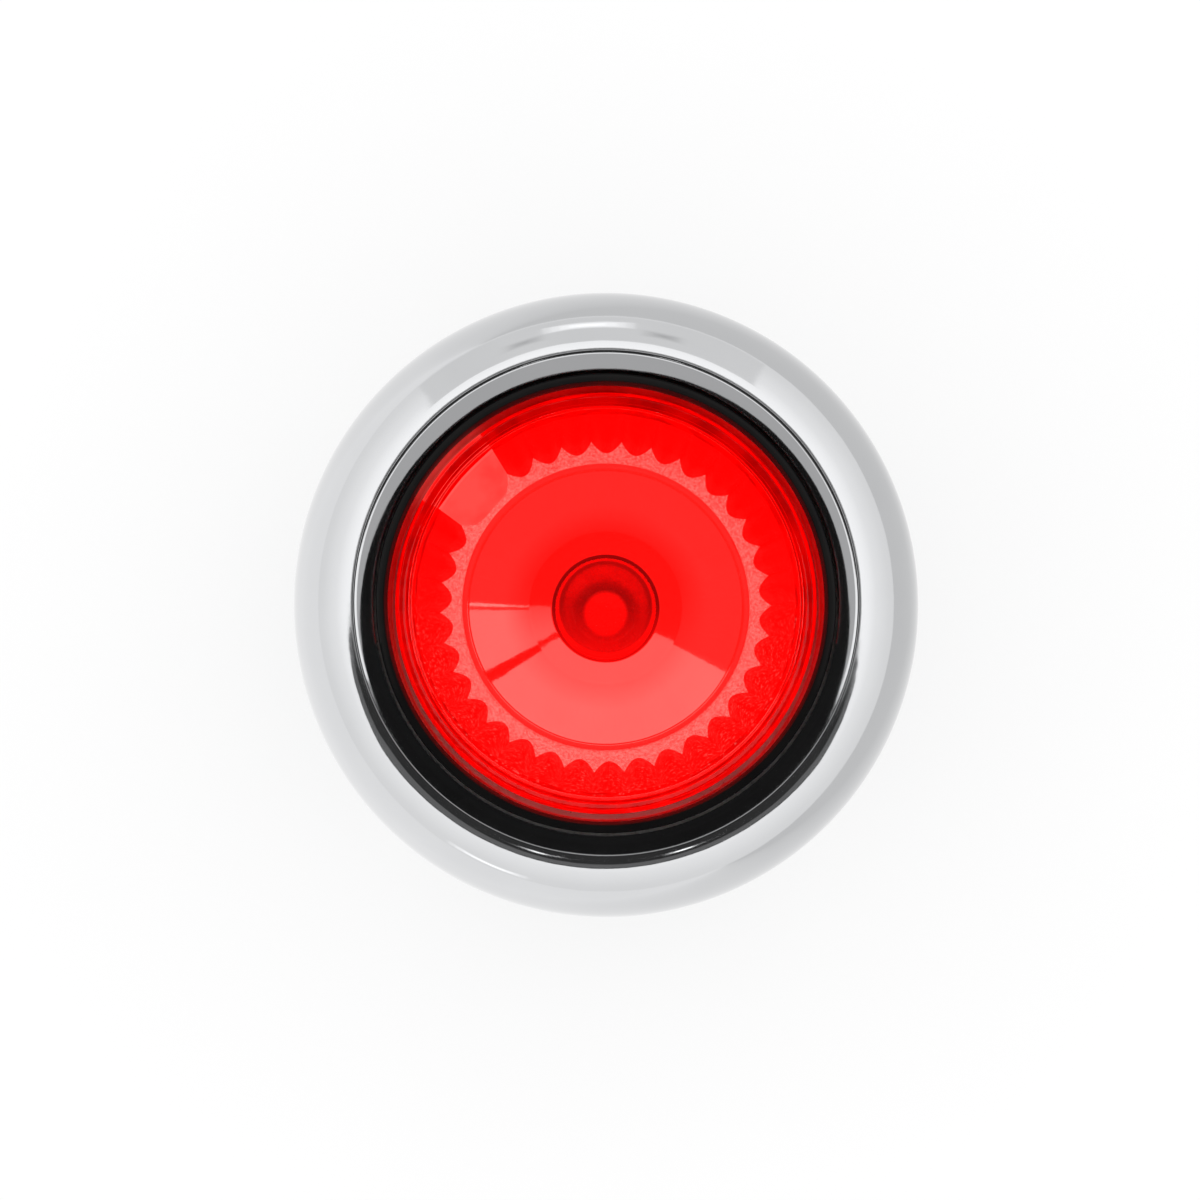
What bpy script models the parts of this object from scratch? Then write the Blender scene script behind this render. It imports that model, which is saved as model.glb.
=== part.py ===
"""Illuminated industrial push button for a 22 mm panel hole.

The button's axis is Z and the user pushes it down. z = 0 is the front face of the panel that the button
is fixed in. Above it are the chrome bezel and the red lens. Below it are the threaded barrel, the nut,
the coupling base with its latch ring, two contact blocks and, between them, the lamp block.
"""

import math

import bmesh
import bpy
from mathutils import Matrix, Vector

MM = 0.001
GAP = 0.12 * MM  # between fixed pieces that rest on each other
ROUND = 36  # sides of a turned piece
MERGE = 1e-6
SHARP_EDGE = math.radians(30)

# Bezel and panel seat
BEZEL_R = 14.75 * MM
CREST_R = 11.65 * MM
CREST_Z = 6.2 * MM
LIP_R = 10.8 * MM
EDGE_R = 0.3 * MM  # rounding between the dome and the slope inside it
SLOPE_TOP, SLOPE_FOOT = math.radians(32), math.radians(48)  # how steep the slope is at its two ends
BEZEL_WALL = 0.8 * MM
FLANGE_R = 13.7 * MM
FLANGE_TOP = 2.6 * MM
FLANGE_BOTTOM = 1.05 * MM
GASKET_TOP = 0.9 * MM
GASKET_R = 14.3 * MM
PANEL = 2.0 * MM

# Button: the lens, and what moves with it
LENS_TOP = 5.0 * MM
LENS_R = 10.05 * MM
LENS_FACE_R = 9.35 * MM
LENS_RIM_BOTTOM = 3.4 * MM
LENS_UNDERSIDE = 3.7 * MM
SKIRT_R = 9.35 * MM
SKIRT_STEP_Z = -1.6 * MM
SKIRT_FOOT_R = 8.7 * MM
SKIRT_FOOT_Z = -3.5 * MM
GROOVE_TOP_R, GROOVE_FOOT_R = 9.0 * MM, 8.05 * MM  # between the lens's inner ribs
RIB_DEPTH = 0.57 * MM
KEY_DEPTH = 0.78 * MM
RIBS = 32
KEY_CENTRE, KEY_WIDTH = math.radians(138.5), math.radians(24)
SLEEVE_R = 9.35 * MM
SLEEVE_BOTTOM = -9.5 * MM
TUBE_R, TUBE_BORE_R = 7.6 * MM, 6.6 * MM
TUBE_BOTTOM = -20.4 * MM
LEG_BOTTOM = -22.0 * MM
LEG_X = 7.1 * MM
REFLECTOR_TOP = -3.6 * MM
RING_R, RING_OUTER_R = 6.75 * MM, 7.0 * MM
DISH_R, DISH_HOLE_R, DISH_Z = 3.75 * MM, 2.85 * MM, -5.4 * MM
SEAL_Z = -7.1 * MM

# Barrel
COLLAR_R = 10.3 * MM
COLLAR_TOP = 5.3 * MM
COUNTERBORE_Z = -0.9 * MM
BORE_R = 9.6 * MM
BARREL_R = 11.0 * MM
THREAD_R = 10.9 * MM
SHOULDER_Z = -17.4 * MM
SHOULDER_R = 7.9 * MM
BARREL_BOTTOM = -19.0 * MM
GROOVE_R = 10.3 * MM
GROOVE_TOP, GROOVE_BOTTOM = -17.0 * MM, -18.2 * MM
NUT_TOP, NUT_BOTTOM = -3.15 * MM, -7.6 * MM
NUT_FLATS = 25.2 * MM

# Coupling base
BASE_R = 14.5 * MM
COVER_TOP, COVER_BOTTOM = -14.6 * MM, -16.2 * MM
BASE_TOP, BASE_BOTTOM = -16.3 * MM, -24.4 * MM
RING_ROOM_R = 13.1 * MM
RING_ROOM_Z = -20.1 * MM
BASE_HOLE_R = 9.4 * MM
LATCH_TOP, LATCH_BOTTOM = -16.5 * MM, -19.9 * MM
LATCH_ANGLE = math.radians(-75)
LATCH_SWING = math.radians(-30)
ARM_X, ARM_OUT = 5.6 * MM, 14.1 * MM

# Blocks under the base
BLOCK_TOP, BLOCK_BOTTOM = -24.6 * MM, -44.4 * MM
BLOCK_R, BLOCK_Y = 14.6 * MM, 12.9 * MM  # their outline is a circle with two flats
BLOCK_WALL = 0.8 * MM
LAMP_X = 3.6 * MM  # half width of the lamp block
SIDE_IN, SIDE_OUT = 3.8 * MM, 12.5 * MM  # a contact block's inner and outer side
SIDE_MID = 7.8 * MM
SIDE_OPEN = 11.7 * MM  # where its cover starts
TERMINAL_Y = 8.2 * MM
STRIP_TOP, STRIP_THICK = -38.0 * MM, 0.8 * MM
STRIP_END_Y = 10.6 * MM
STRIP_WIDTH = 4.0 * MM
CLAMP_TOP, CLAMP_BOTTOM = -40.8 * MM, -41.8 * MM
CLAMP_SIZE = 4.0 * MM
SCREW_HEAD_R, SCREW_R = 1.9 * MM, 1.25 * MM
SCREW_TOP, SCREW_HEAD_TOP, SCREW_HEAD_BOTTOM = -36.6 * MM, -42.0 * MM, -44.2 * MM
ACTUATOR_X = (6.15 * MM, 8.05 * MM)
ACTUATOR_TOP = -22.1 * MM
PLUNGER_X = (5.2 * MM, 10.4 * MM)
PLUNGER_Y = 1.8 * MM
PLUNGER_TOP = -26.8 * MM
WINDOW_X = (5.9 * MM, 9.7 * MM)
BRIDGE_WIDTH, BRIDGE_THICK, BRIDGE_Y = 3.3 * MM, 0.6 * MM, 4.3 * MM
TIP_R, TIP_HIGH, TIP_Y = 0.9 * MM, 0.45 * MM, 3.3 * MM
CHAMBER_Y = 4.6 * MM
SPRING_SEAT = -43.5 * MM

# Lamp
LED_R, LED_FLANGE_R = 2.5 * MM, 2.9 * MM
LED_FOOT, LED_TOP = -12.8 * MM, -4.2 * MM
LED_FLANGE = 1.0 * MM
STEM_R, STEM_BORE_R = 3.0 * MM, 1.9 * MM
LAMP_COVER_BOTTOM = -26.2 * MM
BOARD_TOP, BOARD_BOTTOM = -28.4 * MM, -29.6 * MM
LEAD_Y = 1.27 * MM


def clear_scene():
    """Removes every object that the start-up file holds."""
    for obj in list(bpy.data.objects):
        bpy.data.objects.remove(obj, do_unlink=True)


def collection(name):
    made = bpy.data.collections.new(name)
    bpy.context.scene.collection.children.link(made)
    return made


def material(name, colour, roughness, metallic=0.0, alpha=1.0):
    made = bpy.data.materials.new(name)
    made.use_nodes = True
    shader = made.node_tree.nodes["Principled BSDF"]
    shader.inputs["Base Color"].default_value = (*colour, 1)
    shader.inputs["Roughness"].default_value = roughness
    shader.inputs["Metallic"].default_value = metallic
    shader.inputs["Alpha"].default_value = alpha
    made.diffuse_color = (*colour, alpha)
    return made


def add(name, data, finish=None):
    """An object of the part, or a helper that only cuts or joins when it has no finish."""
    obj = bpy.data.objects.new(name, data)
    if finish is None:
        HELPERS.objects.link(obj)
        obj.hide_render = True
        obj.display_type = "WIRE"
    else:
        PARTS.objects.link(obj)
        data.materials.append(finish)
    return obj


def arc(centre, radii, start, end, steps):
    """Points along part of an ellipse in the profile's plane, its angles in degrees."""
    found = []
    for i in range(steps + 1):
        angle = math.radians(start + (end - start) * i / steps)
        found.append(
            (centre[0] + radii[0] * math.cos(angle), centre[1] + radii[1] * math.sin(angle))
        )
    return found


def turned(name, profile, finish=None, sides=ROUND):
    """A profile of (radius, z) points, down its outer side and up its inner side, turned round Z."""
    mesh = bpy.data.meshes.new(name)
    touches_axis = any(r < MERGE for r, _ in profile)
    last = len(profile) - 1
    edges = [(i, i + 1) for i in range(last)]
    if not touches_axis:
        edges.append((last, 0))
    mesh.from_pydata([(r, 0, z) for r, z in profile], edges, [])
    obj = add(name, mesh, finish)
    screw = obj.modifiers.new("turn", "SCREW")
    screw.steps = screw.render_steps = sides
    screw.use_merge_vertices = True
    screw.merge_threshold = MERGE
    screw.use_smooth_shade = False
    return obj


def box(name, low, high, finish=None, round_off=0.0):
    """A box between two corners, given in any order, with its edges broken by round_off."""
    low, high = Vector(map(min, low, high)), Vector(map(max, low, high))
    mesh = bpy.data.meshes.new(name)
    made = bmesh.new()
    bmesh.ops.create_cube(made, size=1)
    bmesh.ops.scale(made, vec=high - low, verts=made.verts)
    made.to_mesh(mesh)
    made.free()
    obj = add(name, mesh, finish)
    obj.location = (low + high) / 2
    if round_off:
        bevel = obj.modifiers.new("broken_edges", "BEVEL")
        bevel.width = round_off
        bevel.segments = 1
    return obj


def post(name, radius, bottom, top, at=(0, 0), finish=None, sides=16, top_radius=None):
    """An upright cylinder, or a cone where top_radius differs."""
    mesh = bpy.data.meshes.new(name)
    made = bmesh.new()
    bmesh.ops.create_cone(
        made,
        cap_ends=True,
        segments=sides,
        radius1=radius,
        radius2=radius if top_radius is None else top_radius,
        depth=top - bottom,
    )
    made.to_mesh(mesh)
    made.free()
    obj = add(name, mesh, finish)
    obj.location = (at[0], at[1], (bottom + top) / 2)
    return obj


def strip(name, outline, x_mid, width, finish):
    """A flat outline of (y, z) points in the YZ plane, its width along X."""
    curve = bpy.data.curves.new(name, "CURVE")
    curve.dimensions = "2D"
    curve.fill_mode = "BOTH"
    curve.extrude = width / 2
    spline = curve.splines.new("POLY")
    spline.points.add(len(outline) - 1)
    for point, (y, z) in zip(spline.points, outline):
        point.co = (y, z, 0, 1)
    spline.use_cyclic_u = True
    obj = add(name, curve, finish)
    # The curve's own X, Y and Z become the part's Y, Z and X.
    obj.matrix_world = Matrix(((0, 0, 1, x_mid), (1, 0, 0, 0), (0, 1, 0, 0), (0, 0, 0, 1)))
    return as_mesh(obj)


def as_mesh(obj):
    """A curve object made a mesh with its caps welded, so that it can be cut and joined."""
    bpy.context.view_layer.update()
    graph = bpy.context.evaluated_depsgraph_get()
    mesh = bpy.data.meshes.new_from_object(obj.evaluated_get(graph))
    made = bmesh.new()
    made.from_mesh(mesh)
    bmesh.ops.remove_doubles(made, verts=made.verts, dist=MERGE)
    bmesh.ops.recalc_face_normals(made, faces=made.faces)
    made.to_mesh(mesh)
    made.free()
    name, place, finish = obj.name, obj.matrix_world.copy(), obj.data.materials[0]
    bpy.data.objects.remove(obj)
    solid = add(name, mesh)
    HELPERS.objects.unlink(solid)
    PARTS.objects.link(solid)
    solid.hide_render = False
    solid.display_type = "TEXTURED"
    solid.matrix_world = place
    if not mesh.materials:
        mesh.materials.append(finish)
    return solid


def wire(name, points, thickness, finish):
    """A round wire through the points."""
    curve = bpy.data.curves.new(name, "CURVE")
    curve.dimensions = "3D"
    curve.bevel_depth = thickness / 2
    curve.bevel_resolution = 2
    curve.use_fill_caps = True
    spline = curve.splines.new("POLY")
    spline.points.add(len(points) - 1)
    for point, place in zip(spline.points, points):
        point.co = (*place, 1)
    return add(name, curve, finish)


def coil(name, at, bottom, top, radius, thickness, turns, finish, steps=10):
    """A compression spring that stands on Z, its ends half a wire inside its two seats."""
    low, high = bottom + thickness / 2, top - thickness / 2
    count = round(turns * steps)
    points = []
    for i in range(count + 1):
        angle = 2 * math.pi * i / steps
        points.append(
            (
                at[0] + radius * math.cos(angle),
                at[1] + radius * math.sin(angle),
                low + (high - low) * i / count,
            )
        )
    return wire(name, points, thickness, finish)


def cut(obj, *cutters):
    for cutter in cutters:
        boolean = obj.modifiers.new("cut", "BOOLEAN")
        boolean.operation = "DIFFERENCE"
        boolean.object = cutter


def join(obj, *others):
    for other in others:
        boolean = obj.modifiers.new("join", "BOOLEAN")
        boolean.operation = "UNION"
        boolean.object = other


# ---------------------------------------------------------------- head


def inner_slope(steps):
    """Points down the bezel's inside: a small round edge, then a slope that grows steeper."""
    edge = arc((CREST_R, CREST_Z - EDGE_R), (EDGE_R, EDGE_R), 90, 90 + math.degrees(SLOPE_TOP), 2)
    start_r, start_z = edge[-1]
    radius = (start_r - LIP_R) / (math.sin(SLOPE_FOOT) - math.sin(SLOPE_TOP))
    centre = (start_r + radius * math.sin(SLOPE_TOP), start_z - radius * math.cos(SLOPE_TOP))
    ends = 90 + math.degrees(SLOPE_TOP), 90 + math.degrees(SLOPE_FOOT)
    return edge + arc(centre, (radius, radius), *ends, steps)[1:]


def bezel_ring():
    """The chrome ring: a domed shell over the barrel's flange, hollow underneath."""
    dome = (BEZEL_R - CREST_R, CREST_Z - 1.7 * MM)
    dome_centre = (CREST_R, 1.7 * MM)
    inner = (dome[0] - BEZEL_WALL, dome[1] - BEZEL_WALL)
    under = FLANGE_TOP + GAP
    wall_r = LIP_R + BEZEL_WALL
    profile = arc(dome_centre, dome, 90, 0, 8)
    profile += [(BEZEL_R - 0.25 * MM, FLANGE_BOTTOM), (FLANGE_R + GAP, FLANGE_BOTTOM)]
    profile += [(FLANGE_R + GAP, under)]
    profile += arc(dome_centre, inner, 18, 90, 4)
    profile += [(wall_r, CREST_Z - 1.6 * MM), (wall_r, under), (LIP_R, under)]
    profile += inner_slope(4)[:0:-1]
    turned("bezel_ring", profile, CHROME, 40)


def inner_collar():
    """The glossy black guard between the bezel's lip and the lens."""
    outer = LIP_R - GAP
    profile = [
        (outer, COLLAR_TOP),
        (outer, FLANGE_TOP + GAP),
        (COLLAR_R, FLANGE_TOP + GAP),
        (COLLAR_R, COLLAR_TOP - 0.9 * MM),
        (COLLAR_R + 0.1 * MM, COLLAR_TOP - 0.35 * MM),
    ]
    turned("inner_collar", profile, GLOSS_BLACK, 40)


def panel_gasket():
    """Rubber ring between flange and panel, notched for the barrel's lug."""
    bore = BARREL_R + 0.3 * MM
    profile = [(GASKET_R, GASKET_TOP), (GASKET_R, 0), (bore, 0), (bore, GASKET_TOP)]
    ring = turned("panel_gasket", profile, RUBBER)
    low, high = (-1.7 * MM, 10.0 * MM, -1 * MM), (1.7 * MM, 13.0 * MM, 2 * MM)
    cut(ring, box("gasket_notch", low, high))


def head_barrel():
    """Die-cast body of the head: flange, threaded barrel, spring shoulder and bayonet groove."""
    profile = [
        (FLANGE_R, FLANGE_TOP),
        (FLANGE_R, FLANGE_BOTTOM),
        (BARREL_R, FLANGE_BOTTOM),
        (BARREL_R, -1.2 * MM),
        (THREAD_R, -1.6 * MM),
        (THREAD_R, -13.6 * MM),
        (BARREL_R, -14.0 * MM),
        (BARREL_R, GROOVE_TOP),
        (GROOVE_R, GROOVE_TOP),
        (GROOVE_R, GROOVE_BOTTOM),
        (BARREL_R, GROOVE_BOTTOM),
        (BARREL_R - 0.3 * MM, BARREL_BOTTOM),
        (SHOULDER_R, BARREL_BOTTOM),
        (SHOULDER_R, SHOULDER_Z),
        (BORE_R, SHOULDER_Z),
        (BORE_R, COUNTERBORE_Z),
        (COLLAR_R, COUNTERBORE_Z),
        (COLLAR_R, FLANGE_TOP),
    ]
    barrel = turned("head_barrel", profile, ZINC)
    lug = box("panel_lug", (-1.5 * MM, 10.6 * MM, -1.4 * MM), (1.5 * MM, 12.7 * MM, 1.6 * MM))
    join(barrel, lug)
    keyway = box("washer_keyway", (-1.6 * MM, 10.35 * MM, -1.8 * MM), (1.6 * MM, 13 * MM, -14 * MM))
    cut(barrel, keyway)
    for side in (-1, 1):
        low = (-0.9 * MM, side * 7.22 * MM, BARREL_BOTTOM)
        join(barrel, box(f"shoulder_key_{side}", low, (0.9 * MM, side * 8.2 * MM, SHOULDER_Z)))
    for side, angle in enumerate((LATCH_SWING, LATCH_SWING + math.pi)):
        low = (GROOVE_R, -2.7 * MM, GROOVE_BOTTOM - 2 * MM)
        entry = box(f"bayonet_entry_{side}", low, (12 * MM, 2.7 * MM, GROOVE_TOP - 0.4 * MM))
        entry.matrix_world = Matrix.Rotation(angle, 4, "Z") @ Matrix.Translation(entry.location)
        cut(barrel, entry)


def rib_radius(angle, groove):
    """Inner radius of the lens's ribbed wall: half-round ribs with sharp grooves, and one wide key."""
    pitch = (2 * math.pi - KEY_WIDTH) / RIBS
    past_key = (angle - KEY_CENTRE - KEY_WIDTH / 2) % (2 * math.pi)
    if past_key > 2 * math.pi - KEY_WIDTH:
        across = 2 * (2 * math.pi - past_key) / KEY_WIDTH - 1
        return groove - KEY_DEPTH * (1 - across**4)
    across = 2 * (past_key / pitch % 1) - 1
    return groove - RIB_DEPTH * (1 - across**2)


def ribbed_hollow():
    """The space inside the lens, as a cone whose sides follow the ribs."""
    steps_per_rib, steps_in_key = 4, 10
    pitch = (2 * math.pi - KEY_WIDTH) / RIBS
    start = KEY_CENTRE + KEY_WIDTH / 2
    angles = [start + pitch * i / steps_per_rib for i in range(RIBS * steps_per_rib)]
    angles += [start - KEY_WIDTH + KEY_WIDTH * i / steps_in_key for i in range(steps_in_key)]
    mesh = bpy.data.meshes.new("lens_hollow")
    made = bmesh.new()
    bmesh.ops.create_cone(
        made, cap_ends=True, segments=len(angles), radius1=1, radius2=1, depth=2
    )
    for level, groove, height in (
        (1, GROOVE_TOP_R, LENS_UNDERSIDE),
        (-1, GROOVE_FOOT_R, SKIRT_FOOT_Z - 0.5 * MM),
    ):
        ring = [vertex for vertex in made.verts if vertex.co.z * level > 0]
        ring.sort(key=lambda vertex: math.atan2(vertex.co.y, vertex.co.x))
        for vertex, angle in zip(ring, angles):
            radius = rib_radius(angle, groove)
            vertex.co = (radius * math.cos(angle), radius * math.sin(angle), height)
    bmesh.ops.recalc_face_normals(made, faces=made.faces)
    made.to_mesh(mesh)
    made.free()
    return add("lens_hollow", mesh)


def lens_cap():
    """The red transparent button: a cup with a rounded rim, ribbed inside."""
    profile = [
        (0, LENS_TOP),
        (LENS_FACE_R, LENS_TOP),
        (LENS_FACE_R + 0.12 * MM, LENS_TOP - 0.14 * MM),
    ]
    profile += arc((LENS_R - 0.45 * MM, LENS_TOP - 0.6 * MM), (0.45 * MM, 0.46 * MM), 90, 0, 3)
    profile += [
        (LENS_R, LENS_RIM_BOTTOM),
        (SKIRT_R, LENS_RIM_BOTTOM),
        (SKIRT_R, SKIRT_STEP_Z),
        (SKIRT_FOOT_R, SKIRT_STEP_Z),
        (SKIRT_FOOT_R, SKIRT_FOOT_Z),
        (0, SKIRT_FOOT_Z),
    ]
    lens = turned("lens_cap", profile, RED_LENS, 48)
    cut(lens, ribbed_hollow())


def reflector_dish():
    """Bright dish round the LED, held between the lens's foot and the carrier."""
    profile = [
        (8.6 * MM, REFLECTOR_TOP),
        (8.6 * MM, REFLECTOR_TOP - 0.5 * MM),
        (7.3 * MM, REFLECTOR_TOP - 0.5 * MM),
        (DISH_R, DISH_Z - 0.7 * MM),
        (DISH_HOLE_R, DISH_Z - 0.7 * MM),
        (DISH_HOLE_R, DISH_Z - 0.2 * MM),
        (DISH_R, DISH_Z),
        (RING_R, REFLECTOR_TOP - 0.4 * MM),
        (RING_R, REFLECTOR_TOP + 0.2 * MM),
        (RING_OUTER_R, REFLECTOR_TOP + 0.2 * MM),
        (RING_OUTER_R, REFLECTOR_TOP),
    ]
    turned("reflector_dish", profile, BRIGHT)


def button_carrier():
    """Black sleeve under the lens: ledge for the reflector, seal groove, spring tube and two legs."""
    ledge = REFLECTOR_TOP - 0.6 * MM
    profile = [
        (SLEEVE_R, SKIRT_STEP_Z - GAP),
        (SLEEVE_R, SEAL_Z + 0.6 * MM),
        (8.8 * MM, SEAL_Z + 0.6 * MM),
        (8.8 * MM, SEAL_Z - 0.6 * MM),
        (SLEEVE_R, SEAL_Z - 0.6 * MM),
        (SLEEVE_R, SLEEVE_BOTTOM),
        (TUBE_R, SLEEVE_BOTTOM),
        (TUBE_R, -19.2 * MM),
        (7.1 * MM, -19.2 * MM),
        (7.1 * MM, -20.2 * MM),
        (TUBE_R, -20.2 * MM),
        (TUBE_R, TUBE_BOTTOM),
        (TUBE_BORE_R, TUBE_BOTTOM),
        (TUBE_BORE_R, -8.6 * MM),
        (7.6 * MM, -8.6 * MM),
        (7.6 * MM, ledge),
        (8.85 * MM, ledge),
        (8.85 * MM, SKIRT_STEP_Z - GAP),
    ]
    carrier = turned("button_carrier", profile, BLACK)
    for side in (-1, 1):
        low = (side * (LEG_X - 0.4 * MM), -1.1 * MM, LEG_BOTTOM)
        high = (side * (LEG_X + 0.35 * MM), 1.1 * MM, TUBE_BOTTOM + 0.15 * MM)
        join(carrier, box(f"carrier_leg_{side}", low, high))
        low = (-1.05 * MM, side * 7.1 * MM, TUBE_BOTTOM - 0.1 * MM)
        cut(carrier, box(f"carrier_keyway_{side}", low, (1.05 * MM, side * 8 * MM, -13.2 * MM)))


def carrier_seal():
    """O-ring between carrier and barrel."""
    section = arc((9.22 * MM, SEAL_Z), (0.3 * MM, 0.45 * MM), 90, -270, 8)[:-1]
    turned("carrier_seal", section, RUBBER)


def return_spring():
    seat = SHOULDER_Z + GAP
    coil("return_spring", (0, 0), seat, SLEEVE_BOTTOM - GAP, 8.5 * MM, 0.6 * MM, 4.5, STEEL, 14)


def retaining_clip():
    """Open ring in the tube's groove, which stops the button at rest."""
    profile = [
        (8.9 * MM, -19.3 * MM),
        (8.9 * MM, -20.1 * MM),
        (7.2 * MM, -20.1 * MM),
        (7.2 * MM, -19.3 * MM),
    ]
    clip = turned("retaining_clip", profile, STEEL)
    cut(clip, box("clip_gap", (-3 * MM, 0, -19 * MM), (3 * MM, 12 * MM, -21 * MM)))


# ---------------------------------------------------------------- behind the panel


def locating_washer():
    """Flat washer whose inner tab sits in the barrel's keyway."""
    top = -PANEL - GAP
    bore = BARREL_R + 0.15 * MM
    bottom = top - 0.8 * MM
    profile = [(14.2 * MM, top), (14.2 * MM, bottom), (bore, bottom), (bore, top)]
    washer = turned("locating_washer", profile, STEEL)
    tab = box("washer_tab", (-1.3 * MM, 10.5 * MM, bottom), (1.3 * MM, 11.8 * MM, top))
    join(washer, tab)


def lock_nut():
    """Hexagon nut with its corners turned off on both faces."""
    nut = post("lock_nut", NUT_FLATS / math.sqrt(3), NUT_BOTTOM, NUT_TOP, finish=ZINC, sides=6)
    low_chamfer, edge = NUT_FLATS / 2 + 0.2 * MM, 1.0 * MM
    wide = low_chamfer + 2.4 * MM
    keep = [
        (wide, NUT_TOP - edge),
        (wide, NUT_BOTTOM + edge),
        (low_chamfer, NUT_BOTTOM - 0.1 * MM),
        (0, NUT_BOTTOM - 0.1 * MM),
    ]
    keep = [(0, NUT_TOP + 0.1 * MM), (low_chamfer, NUT_TOP + 0.1 * MM)] + keep
    corners = nut.modifiers.new("corners", "BOOLEAN")
    corners.operation = "INTERSECT"
    corners.object = turned("nut_corners", keep)
    cut(nut, post("nut_bore", THREAD_R + 0.2 * MM, NUT_BOTTOM - MM, NUT_TOP + MM, sides=ROUND))


def base_cover():
    """Plate over the latch ring, which the barrel passes through."""
    edge, bore = 0.4 * MM, BARREL_R + 0.25 * MM
    profile = [
        (BASE_R - edge, COVER_TOP),
        (BASE_R, COVER_TOP - edge),
        (BASE_R, COVER_BOTTOM),
        (bore, COVER_BOTTOM),
        (bore, COVER_TOP),
    ]
    turned("base_cover", profile, BLACK)


def base_body():
    """Housing of the latch ring, with the arms that hold the three blocks."""
    edge = 0.4 * MM
    profile = [
        (BASE_R, BASE_TOP),
        (BASE_R, BASE_BOTTOM + edge),
        (BASE_R - edge, BASE_BOTTOM),
        (BASE_HOLE_R, BASE_BOTTOM),
        (BASE_HOLE_R, RING_ROOM_Z),
        (RING_ROOM_R, RING_ROOM_Z),
        (RING_ROOM_R, BASE_TOP),
    ]
    body = turned("base_body", profile, BLACK)
    inner = BLOCK_Y + 0.15 * MM
    for side in (-1, 1):
        join(
            body,
            box(
                f"arm_root_{side}",
                (-ARM_X, side * 12.0 * MM, BASE_BOTTOM + 0.2 * MM),
                (ARM_X, side * ARM_OUT, -21.0 * MM),
            ),
            box(f"arm_{side}", (-ARM_X, side * inner, -29.3 * MM), (ARM_X, side * ARM_OUT, -23 * MM)),
            box(
                f"arm_hook_{side}",
                (-ARM_X, side * 12.5 * MM, -29.3 * MM),
                (ARM_X, side * (inner + 0.2 * MM), -28.1 * MM),
            ),
        )
    slot_low = (-7.3 * MM, -11.5 * MM, RING_ROOM_Z)
    cut(body, box("lever_slot", slot_low, (7.3 * MM, -16 * MM, BASE_TOP + MM)))


def latch_ring():
    """Bayonet ring on the barrel's groove, turned by a lever that comes out of the base."""
    bore = BARREL_R + 0.3 * MM
    outer = RING_ROOM_R - 0.3 * MM
    profile = [(outer, LATCH_TOP), (outer, LATCH_BOTTOM), (bore, LATCH_BOTTOM), (bore, LATCH_TOP)]
    ring = turned("latch_ring", profile, LEVER)
    for side in (-1, 1):
        low = (side * (GROOVE_R + 0.15 * MM), -2.2 * MM, GROOVE_BOTTOM + 0.15 * MM)
        high = (side * (bore + 0.6 * MM), 2.2 * MM, GROOVE_TOP - 0.15 * MM)
        join(ring, box(f"bayonet_tooth_{side}", low, high))
    turn = Matrix.Rotation(LATCH_ANGLE, 4, "Z")
    lever = box("lever_pad", (12.3 * MM, -2.4 * MM, -19.7 * MM), (14.7 * MM, 2.4 * MM, -16.7 * MM))
    pieces = [lever]
    for i in (-1, 0, 1):
        low = (14.5 * MM, (1.5 * i - 0.35) * MM, -19.5 * MM)
        pieces.append(box(f"lever_rib_{i}", low, (15.1 * MM, (1.5 * i + 0.35) * MM, -16.9 * MM)))
    for piece in pieces:
        piece.matrix_world = turn @ Matrix.Translation(piece.location)
    join(ring, *pieces)


def slotted_screw(name, at, head, shank, slot_along_x=True):
    """A screw on Z. head and shank are (radius, end away from the other, end where they meet)."""
    screw = post(name, head[0], min(head[1:]), max(head[1:]), at, STEEL, 16)
    stem_ends = sorted((shank[1], shank[2] + (head[1] - head[2]) * 0.3))
    join(screw, post(name + "_shank", shank[0], *stem_ends, at, sides=12))
    long, half = head[0] + 0.3 * MM, 0.35 * MM
    wide = (long, half) if slot_along_x else (half, long)
    deep = head[1] + (head[2] - head[1]) * 0.45
    past = head[1] - (head[2] - head[1])
    low, high = (at[0] - wide[0], at[1] - wide[1], deep), (at[0] + wide[0], at[1] + wide[1], past)
    cut(screw, box(name + "_slot", low, high))


# ---------------------------------------------------------------- blocks


def trim_to_outline(block):
    """Cuts a block to the round outline that the three blocks share."""
    ends = (BLOCK_BOTTOM - MM, BLOCK_TOP + MM)
    outline = post(block.name + "_outline", BLOCK_R, *ends, sides=48)
    trim = block.modifiers.new("outline", "BOOLEAN")
    trim.operation = "INTERSECT"
    trim.object = outline


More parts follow.
